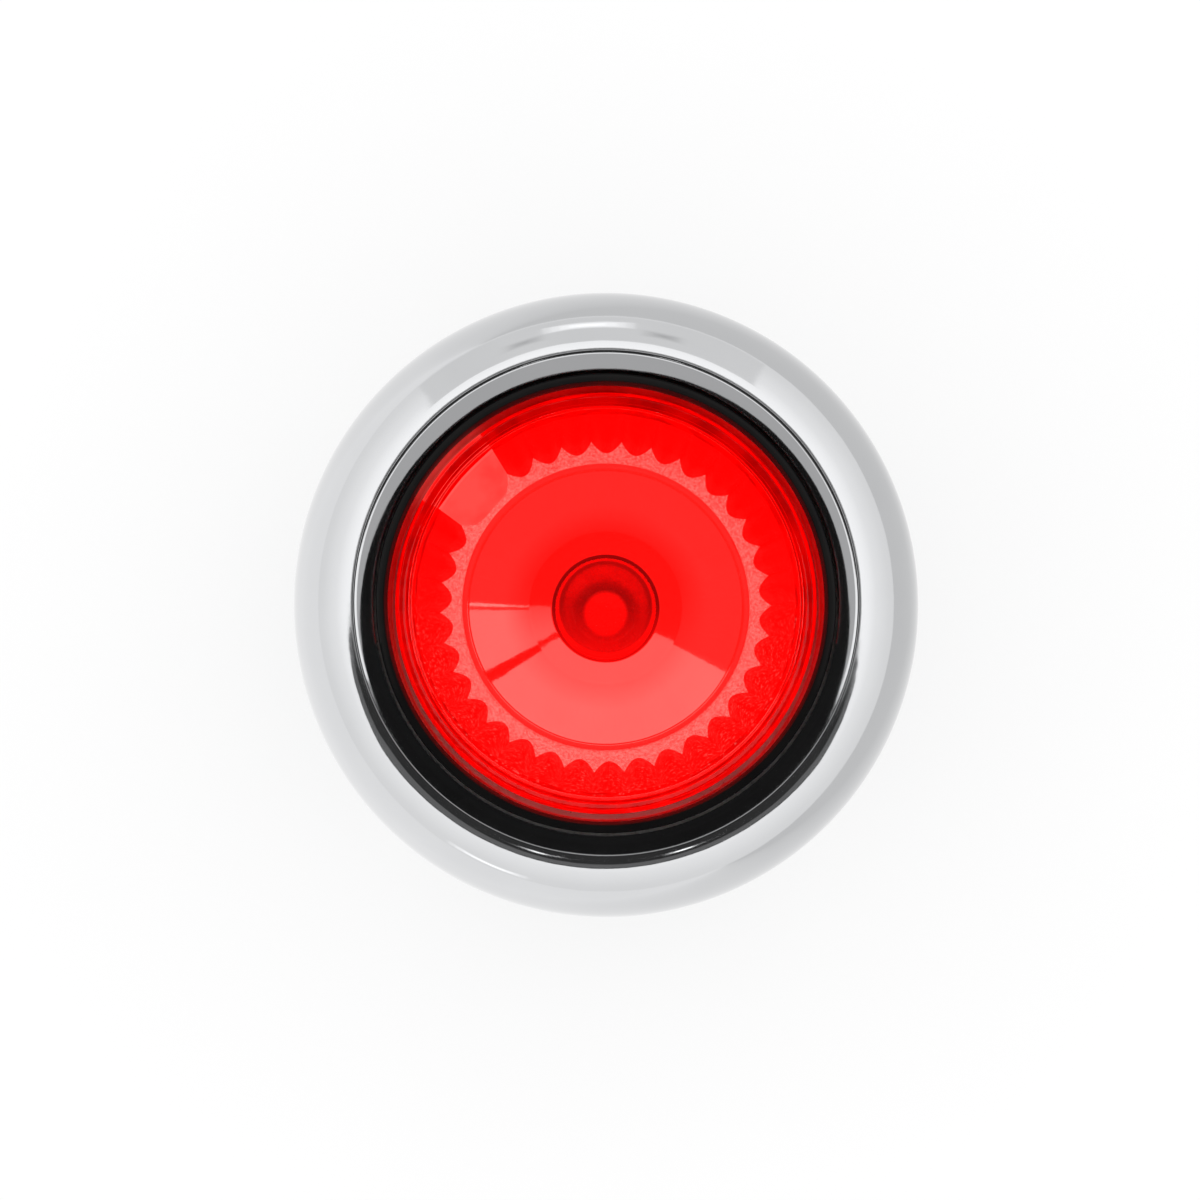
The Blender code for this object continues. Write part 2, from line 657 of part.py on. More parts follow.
def terminal(prefix, x, side, riser_y, riser_top, end_y, tip=0):
    """A fixed conductor with its clamp and screw. tip is 1 for a contact on its top, -1 underneath."""
    y0, y1 = side * STRIP_END_Y, side * riser_y
    low = STRIP_TOP - STRIP_THICK
    thick = side * STRIP_THICK
    outline = [
        (y0, low),
        (y0, STRIP_TOP),
        (y1 + thick, STRIP_TOP),
        (y1 + thick, riser_top),
        (side * end_y, riser_top),
        (side * end_y, riser_top - STRIP_THICK),
        (y1, riser_top - STRIP_THICK),
        (y1, low),
    ]
    name = f"{prefix}_terminal_{'rear' if side > 0 else 'front'}"
    made = strip(name, outline, x, STRIP_WIDTH, BRASS)
    centre = (x, side * TERMINAL_Y)
    hole = post(name + "_hole", SCREW_R + 0.12 * MM, low - MM, STRIP_TOP + MM, centre, sides=12)
    cut(made, hole)
    if tip:
        seat = riser_top if tip > 0 else riser_top - STRIP_THICK
        ends = sorted((seat - tip * 0.3 * MM, seat + tip * TIP_HIGH))
        join(made, post(name + "_tip", TIP_R, *ends, (x, side * TIP_Y), sides=12))
    clamp_name = name.replace("terminal", "clamp")
    half = CLAMP_SIZE / 2
    clamp = box(
        clamp_name,
        (centre[0] - half, centre[1] - half, CLAMP_BOTTOM),
        (centre[0] + half, centre[1] + half, CLAMP_TOP),
        STEEL,
        0.2 * MM,
    )
    ends = (CLAMP_BOTTOM - MM, CLAMP_TOP + MM)
    cut(clamp, post(clamp_name + "_hole", SCREW_R + 0.15 * MM, *ends, centre, sides=12))
    head = (SCREW_HEAD_R, SCREW_HEAD_BOTTOM, SCREW_HEAD_TOP)
    shank = (SCREW_R, SCREW_TOP, SCREW_HEAD_TOP)
    slotted_screw(name.replace("terminal", "screw"), centre, head, shank)


def terminal_pockets(name, x, y_inner):
    """Cutters for both ends of a block: clamp room, strip slot, screw bores, wire ports and arm notches."""
    half = CLAMP_SIZE / 2 + 0.2 * MM
    wide = STRIP_WIDTH / 2 + 0.15 * MM
    low = STRIP_TOP - STRIP_THICK
    cutters = []
    for side in (-1, 1):
        label = f"{name}_{side}"
        y = side * TERMINAL_Y
        shank_ends = (low, SCREW_TOP + 0.4 * MM)
        head_ends = (BLOCK_BOTTOM - MM, BLOCK_BOTTOM + 2 * MM)
        cutters += [
            box(
                label + "_clamp_room",
                (x - half, y - half, BLOCK_BOTTOM + BLOCK_WALL),
                (x + half, y + half, low + 0.1 * MM),
            ),
            box(
                label + "_strip_slot",
                (x - wide, side * y_inner, low - 0.15 * MM),
                (x + wide, side * (STRIP_END_Y + 0.15 * MM), STRIP_TOP + 0.15 * MM),
            ),
            post(label + "_shank_bore", SCREW_R + 0.25 * MM, *shank_ends, (x, y), sides=12),
            post(label + "_head_bore", SCREW_HEAD_R + 0.2 * MM, *head_ends, (x, y), sides=16),
            box(
                label + "_wire_port",
                (x - 1.9 * MM, side * 9.6 * MM, -41.4 * MM),
                (x + 1.9 * MM, side * 16 * MM, -38.7 * MM),
            ),
            box(
                label + "_arm_notch",
                (-ARM_X - 0.3 * MM, side * 12.3 * MM, -29.5 * MM),
                (ARM_X + 0.3 * MM, side * 16 * MM, -27.9 * MM),
            ),
        ]
    return cutters


def contact_block(prefix, side, opens, seat):
    """A contact block on the -X or +X side. opens is the plunger window's (top, bottom), and seat the
    z of the bridge's underside. The bridge closes downwards on an NO block and upwards on an NC block."""
    normally_open = prefix == "no"
    x = side * SIDE_MID
    block_low = (side * SIDE_IN, -BLOCK_Y, BLOCK_BOTTOM)
    block_high = (side * (SIDE_OPEN - 0.1 * MM), BLOCK_Y, BLOCK_TOP)
    housing = box(f"{prefix}_housing", block_low, block_high, GREY, 0.25 * MM)
    trim_to_outline(housing)
    plunger_bottom = opens[1] - 1.2 * MM
    riser_top = -36.5 * MM
    if not normally_open:
        riser_top = seat + BRIDGE_THICK + 2 * TIP_HIGH + 0.1 * MM + STRIP_THICK
    room_top = PLUNGER_TOP + 0.9 * MM
    out = side * (SIDE_OPEN + MM)
    strip_low = min(riser_top - STRIP_THICK, STRIP_TOP - STRIP_THICK) - 0.2 * MM
    strip_high = max(riser_top, STRIP_TOP) + 0.2 * MM
    cutters = [
        box(
            f"{prefix}_room",
            (side * 4.8 * MM, -CHAMBER_Y, SPRING_SEAT - 0.1 * MM),
            (out, CHAMBER_Y, room_top),
        ),
        box(
            f"{prefix}_head_window",
            (side * (ACTUATOR_X[0] - 0.2 * MM), -1.6 * MM, room_top - MM),
            (side * (ACTUATOR_X[1] + 0.4 * MM), 1.6 * MM, BLOCK_TOP + MM),
        ),
    ]
    for end in (-1, 1):
        cutters.append(
            box(
                f"{prefix}_strip_room_{end}",
                (x - STRIP_WIDTH / 2 - 0.15 * MM, end * 4.4 * MM, strip_low),
                (x + STRIP_WIDTH / 2 + 0.15 * MM, end * 6.2 * MM, strip_high),
            )
        )
    cut(housing, *cutters, *terminal_pockets(prefix, x, 5.0 * MM))

    cover_low = (side * SIDE_OPEN, -7.4 * MM, BLOCK_BOTTOM + 0.1 * MM)
    cover_high = (side * SIDE_OUT, 7.4 * MM, BLOCK_TOP - 0.1 * MM)
    box(f"{prefix}_cover", cover_low, cover_high, GREY, 0.2 * MM)

    plunger = box(
        f"{prefix}_plunger",
        (side * PLUNGER_X[0], -PLUNGER_Y, plunger_bottom),
        (side * PLUNGER_X[1], PLUNGER_Y, PLUNGER_TOP),
        GREEN if normally_open else RED_PLASTIC,
    )
    head_low = (side * ACTUATOR_X[0], -1.2 * MM, PLUNGER_TOP - 0.6 * MM)
    head_high = (side * ACTUATOR_X[1], 1.2 * MM, ACTUATOR_TOP)
    join(plunger, box(f"{prefix}_actuator", head_low, head_high))
    window_low = (side * WINDOW_X[0], -4 * MM, opens[1])
    cut(plunger, box(f"{prefix}_window", window_low, (side * WINDOW_X[1], 4 * MM, opens[0])))

    bridge_x = side * (WINDOW_X[0] + WINDOW_X[1]) / 2
    half = BRIDGE_WIDTH / 2
    bridge = box(
        f"{prefix}_bridge",
        (bridge_x - half, -BRIDGE_Y, seat),
        (bridge_x + half, BRIDGE_Y, seat + BRIDGE_THICK),
        BRASS,
    )
    for end in (-1, 1):
        seat_z, way = (seat, -1) if normally_open else (seat + BRIDGE_THICK, 1)
        ends = sorted((seat_z - way * 0.3 * MM, seat_z + way * TIP_HIGH))
        tip = post(f"{prefix}_bridge_tip_{end}", TIP_R, *ends, (bridge_x, end * TIP_Y), sides=12)
        join(bridge, tip)
        terminal(prefix, x, end, 5.2 * MM, riser_top, 2.2 * MM, tip=-way)

    if normally_open:
        held = (seat + BRIDGE_THICK + GAP, opens[0] - GAP)
    else:
        held = (opens[1] + GAP, seat - GAP)
    coil(f"{prefix}_contact_spring", (bridge_x, 0), *held, 1.2 * MM, 0.3 * MM, 3.5, STEEL, 8)
    ends = (SPRING_SEAT + GAP, plunger_bottom - GAP)
    turns = 6.5 if normally_open else 3.5
    coil(f"{prefix}_return_spring", (bridge_x, 0), *ends, 1.4 * MM, 0.35 * MM, turns, STEEL, 8)


def lamp_block():
    """Block under the axis: board, leads and LED on a hollow stem."""
    top = LAMP_COVER_BOTTOM - 0.1 * MM
    low, high = (-LAMP_X, -BLOCK_Y, BLOCK_BOTTOM), (LAMP_X, BLOCK_Y, top)
    housing = box("lamp_housing", low, high, GREY, 0.25 * MM)
    room = box("lamp_room", (-2.9 * MM, -6.6 * MM, -33.2 * MM), (2.9 * MM, 6.6 * MM, top + MM))
    slots = [
        box(
            f"lamp_riser_slot_{side}",
            (-2.15 * MM, side * 4.5 * MM, STRIP_TOP - 1.0 * MM),
            (2.15 * MM, side * 6.2 * MM, -32 * MM),
        )
        for side in (-1, 1)
    ]
    cut(housing, room, *slots, *terminal_pockets("lamp", 0, 4.6 * MM))

    cover_low, cover_high = (-LAMP_X, -BLOCK_Y, LAMP_COVER_BOTTOM), (LAMP_X, BLOCK_Y, BLOCK_TOP)
    cover = box("lamp_cover", cover_low, cover_high, GREY, 0.25 * MM)
    join(cover, post("lamp_stem", STEM_R, BLOCK_TOP - 0.8 * MM, LED_FOOT - GAP, sides=24))
    cut(cover, post("stem_bore", STEM_BORE_R, LAMP_COVER_BOTTOM - MM, LED_FOOT + MM, sides=16))

    board_low, board_high = (-2.7 * MM, -6.4 * MM, BOARD_BOTTOM), (2.7 * MM, 6.4 * MM, BOARD_TOP)
    board = box("lamp_board", board_low, board_high, BOARD)
    for side in (-1, 1):
        hole = post(f"lead_hole_{side}", 0.4 * MM, -31 * MM, -27 * MM, (0, side * LEAD_Y), sides=8)
        cut(board, hole)
        name = "led_lead_anode" if side > 0 else "led_lead_cathode"
        ends = [(0, side * LEAD_Y, LED_FOOT - GAP), (0, side * LEAD_Y, -30.1 * MM)]
        wire(name, ends, 0.5 * MM, STEEL)
        terminal("lamp", 0, side, 4.8 * MM, -30.0 * MM, 3.9 * MM)
    resistor = post("lamp_resistor", 0.9 * MM, -2.4 * MM, 2.4 * MM, finish=RESISTOR, sides=16)
    resistor.rotation_euler = (0, math.pi / 2, 0)
    resistor.location = (0, 2.7 * MM, BOARD_BOTTOM - 1.1 * MM)

    dome = arc((0, LED_TOP - LED_R), (LED_R, LED_R), 90, 0, 6)
    dome[0] = (0, LED_TOP)
    profile = dome + [
        (LED_R, LED_FOOT + LED_FLANGE),
        (LED_FLANGE_R, LED_FOOT + LED_FLANGE),
        (LED_FLANGE_R, LED_FOOT),
        (0, LED_FOOT),
    ]
    turned("led", profile, LED_RED, 24)


def shade_parts():
    """Applies the parts' modifiers and shades them smooth between their sharp edges."""
    graph = bpy.context.evaluated_depsgraph_get()
    solids = [part for part in PARTS.objects if part.type == "MESH"]
    meshes = [bpy.data.meshes.new_from_object(part.evaluated_get(graph)) for part in solids]
    for part, mesh in zip(solids, meshes):
        mesh.shade_smooth()
        mesh.set_sharp_from_angle(angle=SHARP_EDGE)
        part.modifiers.clear()
        part.data = mesh


clear_scene()
PARTS = collection("industrial_push_button")
HELPERS = collection("cutters")

CHROME = material("chrome", (0.86, 0.87, 0.88), 0.06, 1.0)
GLOSS_BLACK = material("gloss_black_plastic", (0.008, 0.008, 0.009), 0.12)
RED_LENS = material("red_lens", (0.85, 0.004, 0.004), 0.04, alpha=0.6)
BRIGHT = material("bright_reflector", (0.85, 0.82, 0.8), 0.18, 0.8)
BLACK = material("black_plastic", (0.02, 0.02, 0.021), 0.45)
GREY = material("grey_plastic", (0.30, 0.31, 0.32), 0.5)
RUBBER = material("rubber", (0.012, 0.012, 0.012), 0.8)
ZINC = material("die_cast_zinc", (0.55, 0.55, 0.56), 0.35, 1.0)
STEEL = material("plated_steel", (0.66, 0.66, 0.64), 0.25, 1.0)
BRASS = material("brass", (0.80, 0.58, 0.27), 0.3, 1.0)
LEVER = material("lever_plastic", (0.80, 0.22, 0.02), 0.4)
GREEN = material("green_plastic", (0.02, 0.28, 0.07), 0.4)
RED_PLASTIC = material("red_plastic", (0.5, 0.01, 0.01), 0.4)
BOARD = material("circuit_board", (0.02, 0.16, 0.06), 0.4)
RESISTOR = material("resistor_body", (0.62, 0.47, 0.30), 0.5)
LED_RED = material("led_epoxy", (0.7, 0.02, 0.02), 0.1, alpha=0.7)

bezel_ring()
inner_collar()
panel_gasket()
head_barrel()
lens_cap()
reflector_dish()
button_carrier()
carrier_seal()
return_spring()
retaining_clip()
locating_washer()
lock_nut()
base_cover()
base_body()
latch_ring()
lamp_block()
contact_block("no", -1, (-28.3 * MM, -33.0 * MM), -32.9 * MM)
contact_block("nc", 1, (-31.6 * MM, -36.4 * MM), -32.3 * MM)
shade_parts()
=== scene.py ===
"""Looks of the illuminated push button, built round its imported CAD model.

Everything is in metres in the model's own frame: the button's axis is Z, the panel's front face is z = 0,
and the user looks down on the red lens. Turned pieces are fine lathes of the same sections as the CAD,
with the roundings, threads and flutes that the plain model leaves out.
"""

import math

import bmesh
import bpy
from mathutils import Matrix, Vector

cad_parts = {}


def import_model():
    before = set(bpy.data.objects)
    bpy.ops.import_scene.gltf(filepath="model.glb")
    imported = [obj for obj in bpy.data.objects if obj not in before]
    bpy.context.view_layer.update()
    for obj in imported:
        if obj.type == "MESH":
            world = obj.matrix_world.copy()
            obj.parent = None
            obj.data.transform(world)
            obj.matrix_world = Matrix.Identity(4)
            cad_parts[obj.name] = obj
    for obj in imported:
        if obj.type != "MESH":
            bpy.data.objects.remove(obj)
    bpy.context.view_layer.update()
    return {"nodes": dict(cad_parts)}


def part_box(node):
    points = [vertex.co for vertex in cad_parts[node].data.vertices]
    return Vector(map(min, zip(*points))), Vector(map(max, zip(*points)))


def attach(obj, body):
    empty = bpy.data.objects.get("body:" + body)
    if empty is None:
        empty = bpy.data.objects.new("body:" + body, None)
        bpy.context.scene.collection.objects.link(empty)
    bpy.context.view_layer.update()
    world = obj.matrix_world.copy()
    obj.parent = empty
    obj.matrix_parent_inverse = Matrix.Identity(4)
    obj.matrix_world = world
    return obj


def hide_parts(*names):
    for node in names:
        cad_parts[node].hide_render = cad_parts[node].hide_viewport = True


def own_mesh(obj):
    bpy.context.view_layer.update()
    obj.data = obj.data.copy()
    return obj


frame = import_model()

MM = 0.001
SHARP = math.radians(32)
FIXED, BUTTON = "fixed_body", "button"


def mm(*sizes):
    """Sizes in millimetres, as metres."""
    return tuple(size * MM for size in sizes)


# ---------------------------------------------------------------- materials


def add_node(tree, kind, inputs=(), **settings):
    """A node whose inputs are linked to sockets or set to values."""
    made = tree.nodes.new("ShaderNode" + kind)
    for key, value in settings.items():
        setattr(made, key, value)
    for key, value in dict(inputs).items():
        if isinstance(value, bpy.types.NodeSocket):
            tree.links.new(value, made.inputs[key])
        else:
            made.inputs[key].default_value = value
    return made


class Finish:
    """One procedural material. Sizes of grain are in metres, in the object's own coordinates."""

    def __init__(self, name, metallic=0.0, transmission=0.0):
        self.material = bpy.data.materials.new(name)
        self.material.use_nodes = True
        self.tree = self.material.node_tree
        self.shader = self.tree.nodes["Principled BSDF"]
        self.set("Metallic", metallic)
        self.set("Transmission Weight", transmission)
        self.place = self.node("TexCoord").outputs["Object"]

    def node(self, kind, inputs=(), **settings):
        return add_node(self.tree, kind, inputs, **settings)

    def noise(self, size, detail=3.0, stretch=None, soft=0.5):
        """Cloudy noise whose features are about this size. stretch scales the coordinates first."""
        place = self.place
        if stretch:
            place = self.node("Mapping", {"Vector": place, "Scale": stretch}).outputs["Vector"]
        inputs = {"Vector": place, "Scale": 1 / size, "Detail": detail, "Roughness": soft}
        return self.node("TexNoise", inputs).outputs["Fac"]

    def along(self, axis):
        return self.node("SeparateXYZ", {"Vector": self.place}).outputs[axis]

    def radius(self):
        """The distance from the Z axis."""
        across = self.node("VectorMath", {0: self.place, 1: (1, 1, 0)}, operation="MULTIPLY")
        length = self.node("VectorMath", {0: across.outputs["Vector"]}, operation="LENGTH")
        return length.outputs["Value"]

    def spread(self, value, low=0.0, high=1.0, start=0.3, end=0.7):
        """The part of the value between start and end, stretched to low and high."""
        inputs = {0: value, 1: start, 2: end, 3: low, 4: high}
        return self.node("MapRange", inputs).outputs[0]

    def mixed(self, factor, first, second):
        """A mix of two colours, each a socket or its red, green and blue."""
        ends = [end if isinstance(end, bpy.types.NodeSocket) else (*end, 1) for end in (first, second)]
        return self.node("Mix", {0: factor, 6: ends[0], 7: ends[1]}, data_type="RGBA").outputs[2]

    def combined(self, first, second, operation="ADD"):
        return self.node("Math", {0: first, 1: second}, operation=operation).outputs[0]

    def set(self, socket, value):
        if isinstance(value, bpy.types.NodeSocket):
            self.tree.links.new(value, self.shader.inputs[socket])
        else:
            self.shader.inputs[socket].default_value = value

    def bump(self, *layers):
        """Bumps on bumps: each layer is (height value, height in metres)."""
        normal = None
        for value, height in layers:
            inputs = {"Height": value, "Distance": height, "Strength": 1.0}
            if normal:
                inputs["Normal"] = normal
            normal = self.node("Bump", inputs).outputs["Normal"]
        self.set("Normal", normal)

    def worn(self, colour, edge):
        """The colour with its exposed edges partly mixed towards another."""
        point = self.node("NewGeometry").outputs["Pointiness"]
        rim = self.spread(point, 0.0, 0.5, 0.52, 0.62)
        return self.mixed(self.combined(rim, self.noise(0.6 * MM), "MULTIPLY"), colour, edge)

    def done(self, colour, roughness, *layers, specular=0.5, glow=None, strength=0.0):
        """Fills the shader's main sockets and gives back the material. layers are bumps."""
        self.set("Base Color", colour)
        self.set("Roughness", roughness)
        self.set("Specular IOR Level", specular)
        if layers:
            self.bump(*layers)
        if glow is not None:
            self.set("Emission Color", glow)
            self.set("Emission Strength", strength)
        return self.material


def chrome():
    """Bright plating: a faint orange peel, cloudy wiping marks and a few very fine hairlines."""
    made = Finish("chrome_plating", metallic=1.0)
    clouds, hairlines = made.noise(3.2 * MM, 4), made.noise(0.22 * MM, 2, stretch=(1.0, 1.0, 6.0))
    colour = made.mixed(clouds, (0.60, 0.605, 0.617), (0.64, 0.645, 0.655))
    wiped = made.combined(made.spread(clouds, 0.045, 0.085), made.spread(hairlines, 0.0, 0.02))
    return made.done(colour, wiped, (made.noise(1.3 * MM, 1), 5e-6), (hairlines, 2e-7))


def moulded(name, dark, light, roughness, edge):
    """Injection-moulded plastic: spark-eroded grain, flow clouds and a little dust in the grain."""
    made = Finish(name)
    clouds, fine = made.noise(4.0 * MM, 3), made.noise(0.09 * MM, 2, soft=0.6)
    colour = made.worn(made.mixed(made.spread(clouds), dark, light), edge)
    grainy = made.spread(fine, roughness - 0.06, roughness + 0.08)
    dusty = made.combined(grainy, made.spread(clouds, 0.0, 0.05))
    return made.done(colour, dusty, (made.noise(2.5 * MM, 1), 1.2e-5), (fine, 6e-6))


def gloss_black():
    made = Finish("gloss_black_plastic")
    clouds = made.noise(2.4 * MM, 3)
    colour = made.mixed(clouds, (0.003, 0.003, 0.0035), (0.008, 0.0075, 0.007))
    return made.done(colour, made.spread(clouds, 0.09, 0.17), (made.noise(1.1 * MM, 1), 4e-6), specular=0.09)


def red_lens():
    """Clear red polycarbonate: most of the colour is in its depth, so thin walls look pinker."""
    made = Finish("red_lens_plastic", transmission=1.0)
    made.set("IOR", 1.49)
    depth = made.node("VolumeAbsorption", {"Color": (0.975, 0.05, 0.04, 1), "Density": 500.0})
    made.tree.links.new(depth.outputs[0], made.tree.nodes["Material Output"].inputs["Volume"])
    colour = made.mixed(made.noise(2.0 * MM, 3), (0.985, 0.67, 0.65), (0.98, 0.63, 0.61))
    roughness, waves = made.spread(made.noise(0.5 * MM, 3), 0.004, 0.022), made.noise(1.7 * MM, 1)
    # Painted light: the lens gives off a faint red glow that stands in for the lamp's light inside it.
    return made.done(colour, roughness, (waves, 2e-6), glow=(1.0, 0.0, 0.0, 1), strength=0.12)


def lens_ribs(name, dark, light, painted_speck_colour, strength):
    """The lens's ribbed inner wall, frosted by the mould. The wall glows in its own colour, which is painted
    light from the lamp, and its lower side has ragged painted highlights.
    """
    made = Finish(name)
    clouds, fine = made.noise(1.5 * MM, 3, stretch=(1.0, 1.0, 0.25)), made.noise(0.1 * MM, 3)
    colour = made.mixed(made.spread(clouds, 0.0, 1.0, 0.35, 0.62), dark, light)
    # Painted highlights: ragged specks of light, towards the lower side only.
    lower = made.spread(made.along("Y"), 1.0, 0.0, -3 * MM, 1.5 * MM)
    painted_speck_mask = made.spread(made.noise(0.2 * MM, 5, soft=0.7), 0.0, 1.0, 0.56, 0.62)
    glow = made.mixed(made.combined(painted_speck_mask, lower, "MULTIPLY"), colour, painted_speck_colour)
    roughness = made.spread(fine, 0.5, 0.7)
    return made.done(colour, roughness, (fine, 4e-6), specular=0.03, glow=glow, strength=strength)


def bright_reflector():
    """Vacuum-metallised plastic, bright on the cone and grained on the flange, with the lamp's red glow
    painted in.
    """
    made = Finish("metallised_reflector", metallic=1.0)
    grains, radius = made.noise(0.11 * MM, 4, soft=0.7), made.radius()
    plated = made.mixed(made.noise(1.6 * MM, 2), (0.86, 0.80, 0.79), (0.94, 0.88, 0.87))
    flange = made.spread(radius, 0.0, 1.0, 6.95 * MM, 7.02 * MM)
    painted_glow_near_lamp = made.spread(radius, 0.95, 0.0, 3.6 * MM, 5.0 * MM)
    upper = made.spread(made.along("Y"), 0.4, 1.0, -1.6 * MM, 1.2 * MM)
    # Painted glow and shade: near the lamp the base colour turns red, more so on the upper side than the
    # lower.
    colour = made.mixed(made.combined(painted_glow_near_lamp, upper, "MULTIPLY"), plated, (0.9, 0.03, 0.03))
    satin = made.combined(made.spread(grains, 0.03, 0.07), made.combined(flange, 0.2, "MULTIPLY"))
    inner = made.mixed(made.spread(grains), (0.95, 0.012, 0.008), (1.0, 0.03, 0.022))
    outer = made.mixed(made.spread(grains, 0.0, 1.0, 0.42, 0.6), (1.0, 0.2, 0.18), (1.0, 0.72, 0.66))
    layers = (made.noise(0.5 * MM, 2), 1.5e-6), (made.combined(grains, flange, "MULTIPLY"), 3e-5)
    # Painted light: the whole dish emits a red glow, pinker and grainy on the flange.
    return made.done(colour, satin, *layers, glow=made.mixed(flange, inner, outer), strength=0.62)


def led_epoxy():
    """Tinted LED epoxy with the glow of the chip inside it, painted brighter on its lower side."""
    made = Finish("led_epoxy", transmission=1.0)
    made.set("IOR", 1.53)
    made.set("Specular Tint", (0.9, 0.1, 0.09, 1))
    clouds = made.noise(0.9 * MM, 3)
    colour = made.mixed(clouds, (0.22, 0.002, 0.002), (0.16, 0.001, 0.001))
    # Painted light: the glow is stronger on the lower side than the upper.
    lower = made.spread(made.along("Y"), 1.0, 0.0, -1.8 * MM, 0.3 * MM)
    glow = made.mixed(lower, (0.05, 0.0, 0.0), (1.0, 0.0, 0.0))
    return made.done(colour, made.spread(clouds, 0.02, 0.07), (clouds, 3e-6), glow=glow, strength=0.4)


def led_cup():
    """Plated cup with the chip's light on it painted in as a red glow, bright in the middle and dull towards
    its rim.
    """
    made = Finish("led_lead_frame", metallic=1.0)
    fine = made.noise(0.08 * MM, 3)
    colour = made.mixed(fine, (0.45, 0.40, 0.39), (0.6, 0.55, 0.53))
    outwards = made.spread(made.radius(), 0.0, 1.0, 0.26 * MM, 0.34 * MM)
    glow = made.mixed(outwards, (1.0, 0.03, 0.02), (0.02, 0.0, 0.0))
    return made.done(colour, made.spread(fine, 0.2, 0.4), (fine, 3e-6), glow=glow, strength=2.6)


def metal(name, dark, light, roughness, grain, depth, stretch=None):
    """Bare or plated metal with a worked surface and slight tarnish."""
    made = Finish(name, metallic=1.0)
    clouds, fine = made.noise(1.8 * MM, 4), made.noise(grain, 3, stretch=stretch, soft=0.6)
    edge = [min(1, 1.15 * part) for part in light]
    colour = made.worn(made.mixed(made.spread(clouds), dark, light), edge)
    worked = made.spread(fine, roughness - 0.07, roughness + 0.1)
    return made.done(colour, made.combined(worked, made.spread(clouds, 0.0, 0.08)), (fine, depth))


def rubber():
    made = Finish("nitrile_rubber")
    clouds, dust = made.noise(2.6 * MM, 4), made.noise(0.12 * MM, 3, soft=0.7)
    colour = made.mixed(made.spread(clouds), (0.012, 0.012, 0.012), (0.03, 0.03, 0.029))
    return made.done(colour, made.spread(dust, 0.62, 0.88), (dust, 9e-6), specular=0.3)


def smoke_cover():
    """Grey-smoke translucent plastic of the contact blocks' side covers."""
    made = Finish("smoke_cover_plastic", transmission=0.55)
    clouds, fine = made.noise(3.0 * MM, 3), made.noise(0.1 * MM, 2)
    colour = made.mixed(clouds, (0.34, 0.36, 0.38), (0.42, 0.44, 0.46))
    return made.done(colour, made.spread(fine, 0.14, 0.26), (fine, 3e-6))


def circuit_board():
    """Green solder mask over woven glass, with copper showing faintly in lines."""
    made = Finish("circuit_board")
    inputs = {"Vector": made.place, "Scale": 1 / (2.2 * MM), "Distortion": 0.4}
    weave, clouds = made.node("TexWave", inputs).outputs["Fac"], made.noise(1.0 * MM, 3)
    mask = made.mixed(clouds, (0.006, 0.10, 0.03), (0.012, 0.15, 0.045))
    colour = made.mixed(made.spread(weave, 0.0, 0.5, 0.6, 0.8), mask, (0.03, 0.2, 0.06))
    return made.done(colour, made.spread(clouds, 0.28, 0.42), (weave, 8e-6))


def resistor_body():
    """Lacquered ceramic with generic colour rings across its length."""
    made = Finish("resistor_body")
    along, clouds, half_ring = made.along("X"), made.noise(0.4 * MM, 3), 0.24 * MM
    colour = made.mixed(clouds, (0.66, 0.50, 0.31), (0.72, 0.56, 0.36))
    orange, black, red, gold = (0.6, 0.3, 0.0), (0.02, 0.02, 0.02), (0.5, 0.02, 0.02), (0.6, 0.42, 0.1)
    for centre, ring in ((-1.7, orange), (-0.9, black), (-0.1, red), (1.5, gold)):
        away = made.combined(made.combined(along, -centre * MM), 0.0, "ABSOLUTE")
        colour = made.mixed(made.combined(away, half_ring, "LESS_THAN"), colour, ring)
    return made.done(colour, made.spread(clouds, 0.28, 0.42), (clouds, 1e-5))


FINISHES = {
    "chrome": chrome(),
    "gloss_black": gloss_black(),
    "red_lens": red_lens(),
    "bright_reflector": bright_reflector(),
    "clear_smoke_cover": smoke_cover(),
    "rubber": rubber(),
    "circuit_board": circuit_board(),
    "resistor": resistor_body(),
    "led_epoxy": led_epoxy(),
    "zinc": metal("nickel_plated_zinc", (0.50, 0.49, 0.47), (0.62, 0.61, 0.59), 0.3, 0.12 * MM, 5e-6),
    "plated_steel": metal("zinc_plated_steel", (0.58, 0.585, 0.58), (0.72, 0.72, 0.70), 0.24, 0.1 * MM, 3e-6),
    "brass": metal(
        "rolled_brass", (0.70, 0.47, 0.19), (0.83, 0.60, 0.27), 0.28, 0.14 * MM, 3e-6, (1.0, 7.0, 1.0)
    ),
}
# Slot, material, darkest and lightest colour, roughness, colour of worn edges.
PLASTICS = (
    ("black_plastic", "black_polyamide", (0.013, 0.013, 0.014), (0.022, 0.022, 0.023), 0.42, [0.06] * 3),
    ("grey_plastic", "grey_polyamide", (0.25, 0.26, 0.275), (0.31, 0.32, 0.335), 0.46, (0.42, 0.43, 0.44)),
    ("lever_plastic", "orange_acetal", (0.74, 0.19, 0.015), (0.84, 0.25, 0.03), 0.36, (0.9, 0.4, 0.12)),
    ("green_plastic", "green_polyamide", (0.012, 0.22, 0.05), (0.03, 0.30, 0.08), 0.38, (0.1, 0.42, 0.16)),
    ("red_plastic", "red_polyamide", (0.42, 0.008, 0.008), (0.56, 0.02, 0.018), 0.38, (0.7, 0.1, 0.08)),
)
for plastic, *look in PLASTICS:
    FINISHES[plastic] = moulded(*look)


# ---------------------------------------------------------------- mesh tools


def link(name, mesh):
    obj = bpy.data.objects.new(name, mesh)
    bpy.context.scene.collection.objects.link(obj)
    return obj


def shade(mesh):
    mesh.shade_smooth()
    mesh.set_sharp_from_angle(angle=SHARP)


